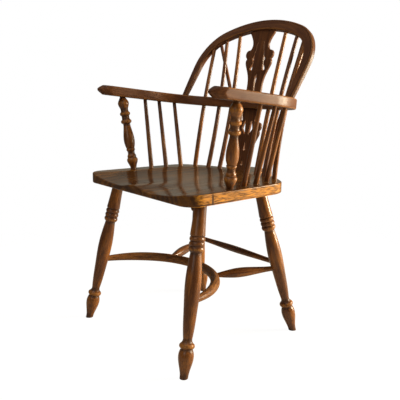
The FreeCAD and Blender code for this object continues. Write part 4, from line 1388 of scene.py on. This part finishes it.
@dataclass
class ArmRail:
    """The bent arm bow, its turned posts and the short sticks under it.

    A short stick has its place in the seat and its place in the arm bow, both across and back.
    """

    seat: Seat
    line: BentLine = BentLine(half=242.0, crown=203.0, corner_r=160.0, wide_r=464.0)
    tip_y: float = -162.5
    width: float = 41.0
    thick: float = 26.5
    edge_r: float = 4.0
    nose: float = 54.0
    nose_shape: Run = ((0.0, 0.0), (0.03, 0.13), (0.11, 0.27), (0.33, 0.55), (0.62, 0.84), (1.0, 1.02))
    nose_points: int = 64
    nose_crowding: float = 1.5
    nose_edge: float = 0.06
    # Painted shade laid over the arm bow's pencil points.
    nose_painted_shade: float = 0.3
    nose_end: float = 0.999
    arm_points: int = 60
    corner_points: int = 50
    back_points: int = 40
    pivot_y: float = -80.0
    pivot_z: float = 649.5
    tilt: float = math.radians(5.9)
    post_seat: Place = (210.3, -65.6)
    post_socket_r: float = 9.0
    post_out: float = 2.5
    post_profile: Profile = (
        ((-0.01, 0.0, 8.8),),
        ((0.038, 0.0, 9.8), (0.0856, 0.0, 13.8), (0.1217, 0.0, 15.7), (0.157, 0.0, 12.1)),
        ((0.1807, 0.0, 12.7), (0.2, 0.0, 10.8)),
        ((0.226, 0.0, 9.9), (0.252, 0.0, 10.8)),
        ((0.268, 0.0, 12.7), (0.2845, 0.0, 11.2)),
        ((0.333, 0.0, 14.3), (0.404, 0.0, 15.7), (0.509, 0.0, 13.4), (0.618, 0.0, 9.9)),
        ((0.6325, 0.0, 11.4),),
        ((0.661, 0.0, 15.4), (0.685, 0.0, 12.1)),
        ((0.7135, 0.0, 10.8), (0.742, 0.0, 11.6)),
        ((0.7685, 0.0, 14.9), (0.7895, 0.0, 12.1)),
        ((0.8133, 0.0, 10.8), (0.842, 0.0, 11.6)),
        ((0.875, 0.0, 14.3), (0.913, 0.0, 15.8), (0.956, 0.0, 12.4), (0.993, 0.0, 7.8)),
        ((1.03, 0.0, 6.8),),
    )
    short_sticks: Sequence[tuple[Place, Place]] = (
        ((200.7, -10.0), (242.0, -3.0)),
        ((192.5, 38.0), (241.0, 47.0)),
        ((182.5, 86.0), (231.0, 96.0)),
    )
    short_radii: Place = (6.7, 5.2)
    short_points: int = 24
    seat_tenon: float = 10.0
    arm_tenon: float = 8.0

    def height(self, y: float, face: float = 0.0) -> float:
        """Height, at a distance back, of the arm's middle plane, or of its upper (1) or lower (-1) face."""
        middle = self.pivot_z - (y - self.pivot_y) * math.tan(self.tilt)
        return middle + face * self.thick / 2 / math.cos(self.tilt)

    def bow(self) -> Skin:
        """Flat bent board with a blunt pencil point on each arm.

        The point is round about the middle line: a section point at reach q from it is drawn in
        by min(1, rho(d) / q), where rho(d) is the point's profile at a distance d from its tip.

        Returns:
            The bow's surface, worn where the flats run into the points, with painted shade darkening the
            points.
        """
        nose_y = self.tip_y + self.nose * np.linspace(0.0, 1.0, self.nose_points) ** self.nose_crowding
        arm_y = np.linspace(nose_y[-1], self.line.centres()[1], self.arm_points)[1:]
        arm = np.concatenate([nose_y, arm_y])
        side = np.stack([np.full(len(arm), self.line.half), arm], -1)
        plan, out = self.line.whole(side, self.corner_points, self.back_points)
        corner = math.hypot(self.width / 2, self.thick / 2)
        shape = [(at * self.nose, size * corner) for at, size in self.nose_shape]
        profile = run_points(shape, NOSE_STEP)
        rho = np.interp(plan[:, 1] - self.tip_y, profile[:, 0], profile[:, 1])
        same = np.ones(len(plan))
        board = BoardSection(self.edge_r, self.edge_r)
        half_thick = same * self.thick / 2
        section, relief = board.points(same * self.width / 2, half_thick, -half_thick)
        drawn_in = np.minimum(1.0, rho[:, None] / np.hypot(section[..., 0], section[..., 1]))
        # Painted shade: the points are darkened all over, as they face away from the window; the crease
        # where the flats end is rubbed lighter.
        rubbed = np.exp(-(((1.0 - drawn_in) / self.nose_edge) ** 2)) - self.nose_painted_shade
        relief = np.where(drawn_in < self.nose_end, rubbed, relief)
        plane = TiltedPlane(self.pivot_y, self.pivot_z, math.cos(self.tilt), -math.sin(self.tilt))
        path = plane.points(plan - np.array([0.0, self.pivot_y]))
        return sweep(path, plane.ways(out), plane.normal(), section * drawn_in[..., None], relief)

    def post(self) -> Skin:
        """Turned arm post, its profile in shares of its length.

        Returns:
            The post's surface.
        """
        start = np.array([*self.post_seat, self.seat.top])
        end = np.array([self.line.half + self.post_out, self.pivot_y, self.height(self.pivot_y, -1)])
        length = float(np.linalg.norm(end - start))
        return lathe(start, end - start, turned_runs(self.post_profile, length))

    def short_stick(self, seat: Place, arm: Place) -> Skin:
        """Short stick, tapering evenly from seat to arm.

        Args:
            seat: its place in the seat.
            arm: its place in the arm bow, which is moved to the bow's middle line.

        Returns:
            The stick's surface.
        """
        x, y = self.line.nearest(*arm)
        low = np.array([*seat, self.seat.top])
        high = np.array([x, y, self.height(y, -1)])
        way = unit(high - low)
        path = straight_path(low - way * self.seat_tenon, high + way * self.arm_tenon, self.short_points)
        return tapered_stick(path, self.short_radii)

    def build(self, shop: Workshop) -> None:
        """Make and dress the arm bow, posts and short sticks.

        Args:
            shop: the workshop.
        """
        shop.skin("arm_bow", self.bow(), Slot.BENT)
        shop.pair("{}_arm_post", self.post(), Slot.TURNED)
        for number, (seat, arm) in enumerate(self.short_sticks, 1):
            shop.pair("{}_short_stick_" + str(number), self.short_stick(seat, arm), Slot.TURNED)


@dataclass
class Back:
    """The back bow, the long sticks, the braces and the two pierced splats.

    A long stick has its places in the seat and in the arm bow, across and back, and its place in
    the back bow, across and over the bow's feet. A splat's outline is (across, up) over its base,
    and its holes are chains of circles, each (across, up, radius).
    """

    seat: Seat
    arm: ArmRail
    line: BentLine = BentLine(half=216.0, crown=229.5, corner_r=112.0, wide_r=390.0)
    foot_y: float = 130.5
    rake: float = math.radians(30.4)
    foot_in: float = 0.5
    foot_run: float = 9.0
    face: float = 30.0
    foot_face: float = 18.0
    narrowing: float = 2.4
    thick: float = 18.0
    foot_thick: float = 12.0
    board: BoardSection = BoardSection(4.0, 3.0, Bead(5.0, 1.6, 1.0))
    side_points: int = 40
    shoulder_points: int = 60
    top_points: int = 50
    long_sticks: Sequence[tuple[Place, Place, Place]] = (
        ((78.0, 152.0), (78.0, 199.0), (90.0, 179.0)),
        ((118.5, 142.0), (122.0, 189.0), (138.5, 167.0)),
        ((168.0, 131.5), (169.0, 167.0), (169.0, 141.0)),
    )
    long_radii: Triple = (6.9, 6.0, 5.1)
    long_points: int = 64
    long_tenon: float = 12.0
    stick_forward: float = 1.5
    brace_tail: Place = (38.0, 225.0)
    brace_top: Place = (172.0, 166.0)
    brace_radii: Place = (6.2, 4.9)
    brace_points: int = 40
    brace_tenon: float = 10.0
    brace_behind: float = 2.5
    splat_foot_y: float = 163.7
    splat_rake: float = math.radians(10.76)
    splat_thick: float = 7.5
    splat_lap: float = 4.0
    splat_ease: float = 0.7
    splat_ease_steps: int = 2
    splat_wear: float = 0.5
    splat_worn_part: Place = (0.8, 0.995)
    splat_sharp: float = 40.0
    upper_side: Sequence[Run] = (
        ((28.1, -19.0), (28.5, 29.4), (31.5, 61.4), (46.0, 92.4), (50.5, 105.4), (46.5, 114.9)),
        ((46.5, 114.9), (54.0, 127.4), (43.0, 138.9)),
        ((43.0, 138.9), (35.5, 141.2), (31.0, 152.4), (36.0, 170.4), (46.5, 185.4)),
    )
    upper_holes: Profile = (
        ((11.5, 165.4, 1.5), (18.0, 125.4, 1.7), (22.0, 114.4, 3.8), (20.0, 103.4, 1.7), (25.0, 86.4, 5.0)),
        ((0.0, 70.4, 1.8), (0.0, 58.4, 4.2), (0.0, 21.4, 1.8)),
    )
    lower_side: Sequence[Run] = (
        ((29.0, -10.0), (29.5, 35.0), (34.0, 76.0), (46.0, 102.0), (48.5, 111.0), (45.5, 117.0)),
        ((45.5, 117.0), (52.5, 129.0), (41.0, 141.0)),
        ((41.0, 141.0), (38.5, 143.0), (37.5, 154.0), (40.0, 170.0), (43.0, 190.0)),
    )
    lower_holes: Profile = (
        ((32.0, 173.0, 1.5), (29.0, 145.0, 4.4)),
        ((12.5, 145.0, 1.4), (15.0, 122.0, 6.0), (7.5, 105.0, 1.6)),
        ((0.0, 82.0, 1.6), (0.0, 61.0, 3.8)),
        ((0.0, 32.0, 1.4), (0.0, 18.0, 3.2)),
    )
    hole_circles: int = 60
    hole_levels: int = 70
    hole_end: float = 0.02

    def plane(self) -> TiltedPlane:
        """The bow's raked plane, from where it stands on the arm bow."""
        foot_z = self.arm.height(self.foot_y, 1)
        return TiltedPlane(self.foot_y, foot_z, math.sin(self.rake), math.cos(self.rake))

    def nearest(self, x: float, rise: float, forward: float) -> Array:
        """Point of the bow near a place across and over its feet, so far before its middle line."""
        flat = np.array([self.line.nearest(x, rise / math.cos(self.rake))])
        return self.plane().points(flat)[0] + self.plane().normal() * forward

    def bow(self) -> Skin:
        """Bent bow: near straight sides, an arc round each shoulder and a wide arc over the top.

        The half face is face / 2 less (face - foot face) / 2 times a power of the way down from
        the crown; the rear thins evenly towards the feet.

        Returns:
            The bow's surface.
        """
        _, shoulder_y, _ = self.line.centres()
        rise = np.linspace(-self.foot_run, shoulder_y, self.side_points)
        drawn_in = self.foot_in * ((shoulder_y - rise) / shoulder_y) ** 2
        side = np.stack([self.line.half - drawn_in, rise], -1)
        flat, out = self.line.whole(side, self.shoulder_points, self.top_points)
        fall = (self.line.crown - flat[:, 1]) / (self.line.crown + self.foot_run)
        down = np.maximum(0.0, fall) ** self.narrowing
        half = self.face / 2 - (self.face - self.foot_face) / 2 * down
        over = self.line.crown + self.face
        rear = -self.thick / 2 + (self.thick - self.foot_thick) * (over - flat[:, 1]) / over
        section, relief = self.board.points(half, np.full(len(flat), self.thick / 2), rear)
        plane = self.plane()
        return sweep(plane.points(flat), plane.ways(out), plane.normal(), section, relief)

    def long_stick(self, seat: Place, arm: Place, top: Place) -> Skin:
        """Long stick, bent a little where it passes through the arm bow.

        Args:
            seat: its place in the seat.
            arm: its place in the arm bow, which is moved to the bow's middle line.
            top: its place in the back bow, which is moved in the same way.

        Returns:
            The stick's surface.
        """
        x, y = self.arm.line.nearest(*arm)
        middle = np.array([x, y, self.arm.height(y)])
        low = np.array([*seat, self.seat.top])
        low = low - unit(middle - low) * self.long_tenon
        high = self.nearest(*top, self.stick_forward)
        path = three_point_path(np.stack([low, middle, high]), self.long_points)
        return tapered_stick(path, self.long_radii)

    def brace(self) -> Skin:
        """Straight brace from the tail block to the bow.

        Returns:
            The brace's surface.
        """
        high = self.nearest(*self.brace_top, -self.brace_behind)
        low = np.array([*self.brace_tail, self.seat.top])
        low = low - unit(high - low) * self.brace_tenon
        return tapered_stick(straight_path(low, high, self.brace_points), self.brace_radii)

    def piercing(self, chain: Sequence[Triple]) -> Array:
        """Outline of a hole sawn along a chain of circles.

        The hole is all circles between one of the chain and the next; at each height its edges
        are the least of x - sqrt(r^2 - dz^2) and the most of x + sqrt(r^2 - dz^2) over them.

        Args:
            chain: across, height and radius of each circle.

        Returns:
            The closed outline, (k, 2).
        """
        links = np.array(chain, float)
        place = np.linspace(0.0, len(links) - 1.0, self.hole_circles * len(links))
        x, z, r = (np.interp(place, np.arange(len(links)), links[:, k]) for k in range(3))
        low, high = (z - r).min(), (z + r).max()
        turn = np.linspace(self.hole_end, np.pi - self.hole_end, self.hole_levels)
        level = low + (high - low) * (1.0 - np.cos(turn)) / 2.0
        reach = r[None] ** 2 - (level[:, None] - z[None]) ** 2
        span = np.sqrt(np.maximum(reach, 0.0))
        left = np.where(reach >= 0.0, x[None] - span, np.inf).min(1)
        right = np.where(reach >= 0.0, x[None] + span, -np.inf).max(1)
        seen = right > left
        going_up = np.stack([right, level], -1)[seen]
        return np.concatenate([going_up, np.stack([left, level], -1)[seen][::-1]])

    def sawn(self, name: str, loops: Sequence[Array]) -> tuple[Array, list]:
        """Flat board sawn along closed outlines, with eased edges, from a filled curve.

        Args:
            name: name of the pattern, which is taken away again.
            loops: the outlines, (k, 2) each; those inside the first are holes.

        Returns:
            Points (across, up, towards the front) and the faces' corner numbers.
        """
        curve = bpy.data.curves.new(name, "CURVE")
        curve.dimensions = "2D"
        curve.fill_mode = "BOTH"
        curve.extrude = self.splat_thick / 2 - self.splat_ease
        curve.bevel_depth = self.splat_ease
        curve.offset = -self.splat_ease
        curve.bevel_resolution = self.splat_ease_steps
        for loop in loops:
            spline = curve.splines.new("POLY")
            spline.points.add(len(loop) - 1)
            corners = np.concatenate([loop, np.tile([0.0, 1.0], (len(loop), 1))], 1)
            spline.points.foreach_set("co", corners.ravel())
            spline.use_cyclic_u = True
        pattern = add_object(name, curve)
        finished = pattern.evaluated_get(bpy.context.evaluated_depsgraph_get())
        mesh = bpy.data.meshes.new_from_object(finished)
        points = np.zeros(len(mesh.vertices) * 3)
        mesh.vertices.foreach_get("co", points)
        faces = [list(face.vertices) for face in mesh.polygons]
        bpy.data.objects.remove(pattern)
        bpy.data.curves.remove(curve)
        bpy.data.meshes.remove(mesh)
        return points.reshape(-1, 3), faces

    def splat(self, shop: Workshop, node: str, base: float, side: Sequence[Run], holes: Profile) -> None:
        """Pierced board sawn from an outline and its mirror image, set in the splats' plane.

        Args:
            shop: the workshop.
            node: the frame's node.
            base: height over the floor that the outline is counted from.
            side: left half of the outline.
            holes: chains of circles; those off the middle are mirrored.
        """
        edge = outline(side, SAW_STEP)
        loops = [np.concatenate([edge, edge[::-1] * FLIP])]
        for chain in holes:
            loops.append(self.piercing(chain))
            if chain[0][0] > 0.0:
                loops.append(loops[-1][::-1] * FLIP)
        rise = np.array([0.0, base - self.seat.top])
        up_the_rake = np.array([1.0, math.cos(self.splat_rake)])
        local, faces = self.sawn(node + "_pattern", [(loop + rise) / up_the_rake for loop in loops])
        lean = math.sin(self.splat_rake), math.cos(self.splat_rake)
        plane = TiltedPlane(self.splat_foot_y, self.seat.top, *lean)
        through = local[:, 2:] - self.splat_thick / 2
        points = plane.points(local) + through * plane.normal()
        height = np.abs(local[:, 2]) / (self.splat_thick / 2)
        first, last = self.splat_worn_part
        relief = np.where((height > first) & (height < last), self.splat_wear, 0.0)
        shop.piece(node, points, faces, local[:, [0, 2, 1]], relief, Slot.BENT, self.splat_sharp)

    def build(self, shop: Workshop) -> None:
        """Make and dress the bow, the sticks and the splats; the upper splat ends under the crown.

        Args:
            shop: the workshop.
        """
        shop.skin("back_bow", self.bow(), Slot.BENT)
        for number, places in enumerate(self.long_sticks, 1):
            shop.pair("{}_long_stick_" + str(number), self.long_stick(*places), Slot.TURNED)
        shop.pair("{}_brace_stick", self.brace(), Slot.TURNED)
        self.splat(shop, "lower_splat", self.seat.top, self.lower_side, self.lower_holes)
        rise = self.arm.pivot_z - self.seat.top
        arm_top = self.arm.height(self.splat_foot_y + math.tan(self.splat_rake) * rise, 1)
        crown = self.plane().height + self.line.crown * math.cos(self.rake)
        corner = self.upper_side[-1][-1]
        tongue = (corner, (corner[0], crown - self.splat_lap - arm_top))
        self.splat(shop, "upper_splat", arm_top, (*self.upper_side, tongue), self.upper_holes)


@dataclass(frozen=True)
class Lamp:
    """Square soft lamp, in metres.

    Attributes:
        name: the lamp's name.
        place: where it hangs.
        aim: the point that it is turned to.
        size: length of its side.
        watts: its power.
        colour: its colour.
    """

    name: str
    place: Triple
    aim: Triple
    size: float
    watts: float
    colour: Triple

    def hang(self) -> None:
        """Put the lamp into the scene."""
        light = bpy.data.lights.new(self.name, "AREA")
        light.shape = "SQUARE"
        light.size = self.size
        light.energy = self.watts
        light.color = self.colour
        thing = add_object(self.name, light)
        thing.location = self.place
        way = Vector(self.aim) - Vector(self.place)
        thing.rotation_euler = way.to_track_quat("-Z", "Y").to_euler()


@dataclass
class Studio:
    """Pale floor, soft light and the photograph's viewpoint.

    The camera's target and distance are in the chair's millimetres, the rest is in metres.
    """

    shift: float
    target: Triple = (17.35, 1.05, 364.63)
    azimuth: float = math.radians(50.92)
    elevation: float = math.radians(11.2)
    roll: float = math.radians(0.62)
    distance: float = 1551.25
    lens: float = 51.25
    sensor: float = 36.0
    lamps: Sequence[Lamp] = (
        Lamp("window", (1.4, 2.05, 0.85), (0.0, 0.0, 0.45), 0.9, 175.0, (1.0, 0.87, 0.64)),
        Lamp("ceiling", (0.2, -0.7, 2.4), (0.0, 0.0, 0.5), 2.0, 23.0, (1.0, 0.94, 0.86)),
        Lamp("door", (1.0, -2.2, 1.5), (0.0, 0.0, 0.45), 1.2, 11.0, (1.0, 0.95, 0.88)),
    )
    fill: float = 0.07
    dim: float = 0.09
    bright: float = 0.34
    wall_way: Triple = (-0.776, 0.63, 0.0)
    wall_ease: Ease = Ease(-0.2, 0.8)
    white: tuple = (1.0, 1.0, 1.0, 1.0)
    wall_tint: tuple = (1.0, 0.94, 0.74, 1.0)
    floor_reach: float = 9.0
    floor_colour: tuple = (0.66, 0.66, 0.65, 1.0)
    floor_glow: float = 1.12
    floor_glow_share: float = 0.85
    floor_fade: Ease = Ease(0.7, 1.3)

    def camera(self) -> None:
        """Camera on a sphere about the target: back = (sin a cos e, -cos a cos e, sin e)."""
        sine, cosine = math.sin(self.azimuth), math.cos(self.azimuth)
        level = math.cos(self.elevation)
        back = Vector((sine * level, -cosine * level, math.sin(self.elevation)))
        right = Vector((cosine, sine, 0.0))
        up = back.cross(right)
        turned_right = right * math.cos(self.roll) + up * math.sin(self.roll)
        turned_up = up * math.cos(self.roll) - right * math.sin(self.roll)
        place = Vector(self.target) + Vector((0.0, self.shift, 0.0)) + back * self.distance
        matrix = Matrix((turned_right, turned_up, back)).transposed().to_4x4()
        matrix.translation = place * MM
        eye = bpy.data.cameras.new("photograph_view")
        eye.sensor_width = self.sensor
        eye.lens = self.lens
        thing = add_object("photograph_view", eye)
        thing.matrix_world = matrix
        bpy.context.scene.camera = thing

    def world(self) -> None:
        """Surroundings: white to the camera, dim as light, with one bright wall in reflections.

        Reflections see dim + (bright - dim) e, and a tint e of the way to warm, where e is how
        far a direction points to the wall behind the far arm, eased from nought to one.
        """
        made = bpy.data.worlds.new("pale_room")
        made.use_nodes = True
        board = NodeBoard(made.node_tree)
        rays = board.add("ShaderNodeLightPath").outputs
        way = board.add("ShaderNodeTexCoord").outputs["Generated"]
        wall = board.vector("DOT_PRODUCT", way, self.wall_way)["Value"]
        share = board.ramp(wall, self.wall_ease)
        shown = board.maths("MULTIPLY", share, self.bright - self.dim)
        shown = board.maths("ADD", shown, self.dim)
        seen = board.maths("ADD", rays["Is Camera Ray"], rays["Is Transmission Ray"], clamp=True)
        mirrored = board.maths("MULTIPLY", rays["Is Glossy Ray"], shown)
        strength = board.maths("MAXIMUM", board.maths("MAXIMUM", seen, mirrored), self.fill)
        warm = board.maths("MULTIPLY", share, rays["Is Glossy Ray"])
        tint = board.mix(warm, self.white, self.wall_tint)
        light = board.add("ShaderNodeBackground", {"Color": tint, "Strength": strength})
        board.add("ShaderNodeOutputWorld", {"Surface": light.outputs[0]})
        bpy.context.scene.world = made

    def floor(self) -> None:
        """Broad pale floor that keeps the chair's soft shadow and goes white away from it.

        To the camera the floor is a white glow mixed with matt white, and it fades out into the
        white surroundings with the distance from the chair.
        """
        mesh = bpy.data.meshes.new("floor")
        ways = ((-1.0, -1.0, 0.0), (1.0, -1.0, 0.0), (1.0, 1.0, 0.0), (-1.0, 1.0, 0.0))
        mesh.from_pydata(np.array(ways) * self.floor_reach, [], [(0, 1, 2, 3)])
        made = bpy.data.materials.new("pale_floor")
        made.use_nodes = True
        board = NodeBoard(made.node_tree)
        rays = board.add("ShaderNodeLightPath").outputs
        seen = board.maths("MULTIPLY", rays["Is Camera Ray"], self.floor_glow_share)
        matt = board.add("ShaderNodeBsdfDiffuse", {"Color": self.floor_colour})
        glow = board.add("ShaderNodeEmission", {"Color": self.white, "Strength": self.floor_glow})
        near = board.add("ShaderNodeMixShader", {0: seen, 1: matt.outputs[0], 2: glow.outputs[0]})
        place = board.add("ShaderNodeTexCoord").outputs["Object"]
        away = board.ramp(board.vector("LENGTH", place)["Value"], self.floor_fade)
        fade = board.maths("MULTIPLY", away, rays["Is Camera Ray"])
        clear = board.add("ShaderNodeBsdfTransparent")
        whole = board.add("ShaderNodeMixShader", {0: fade, 1: near.outputs[0], 2: clear.outputs[0]})
        board.add("ShaderNodeOutputMaterial", {"Surface": whole.outputs[0]})
        mesh.materials.append(made)
        add_object("floor", mesh)

    def build(self) -> None:
        """Set the stage."""
        bpy.context.scene.view_settings.view_transform = "Standard"
        self.camera()
        self.floor()
        self.world()
        for lamp in self.lamps:
            lamp.hang()
        LOG.info("stage set with %d lamps", len(self.lamps))


def main() -> None:
    """Build the chair's sub-assemblies in order, then the stage."""
    logging.basicConfig(level=logging.INFO, format="%(message)s")
    seat = Seat()
    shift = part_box("seat")[0].y / MM - seat.front_y
    shop = Workshop(shift)
    shop.open()
    legs = Undercarriage(seat)
    arm = ArmRail(seat)
    back = Back(seat, arm)
    sockets = [(*arm.post_seat, arm.post_socket_r)]
    sockets += [(*stick[0], arm.short_radii[0]) for stick in arm.short_sticks]
    sockets += [(*stick[0], back.long_radii[0]) for stick in back.long_sticks]
    sockets += [(*back.brace_tail, back.brace_radii[0])]
    left = np.array(sockets)
    seat.build(shop, np.concatenate([left, left * np.array([-1.0, 1.0, 1.0])]))
    legs.build(shop)
    arm.build(shop)
    back.build(shop)
    LOG.info("%d pieces made", shop.made)
    Studio(shift).build()


if __name__ == "__main__":
    main()
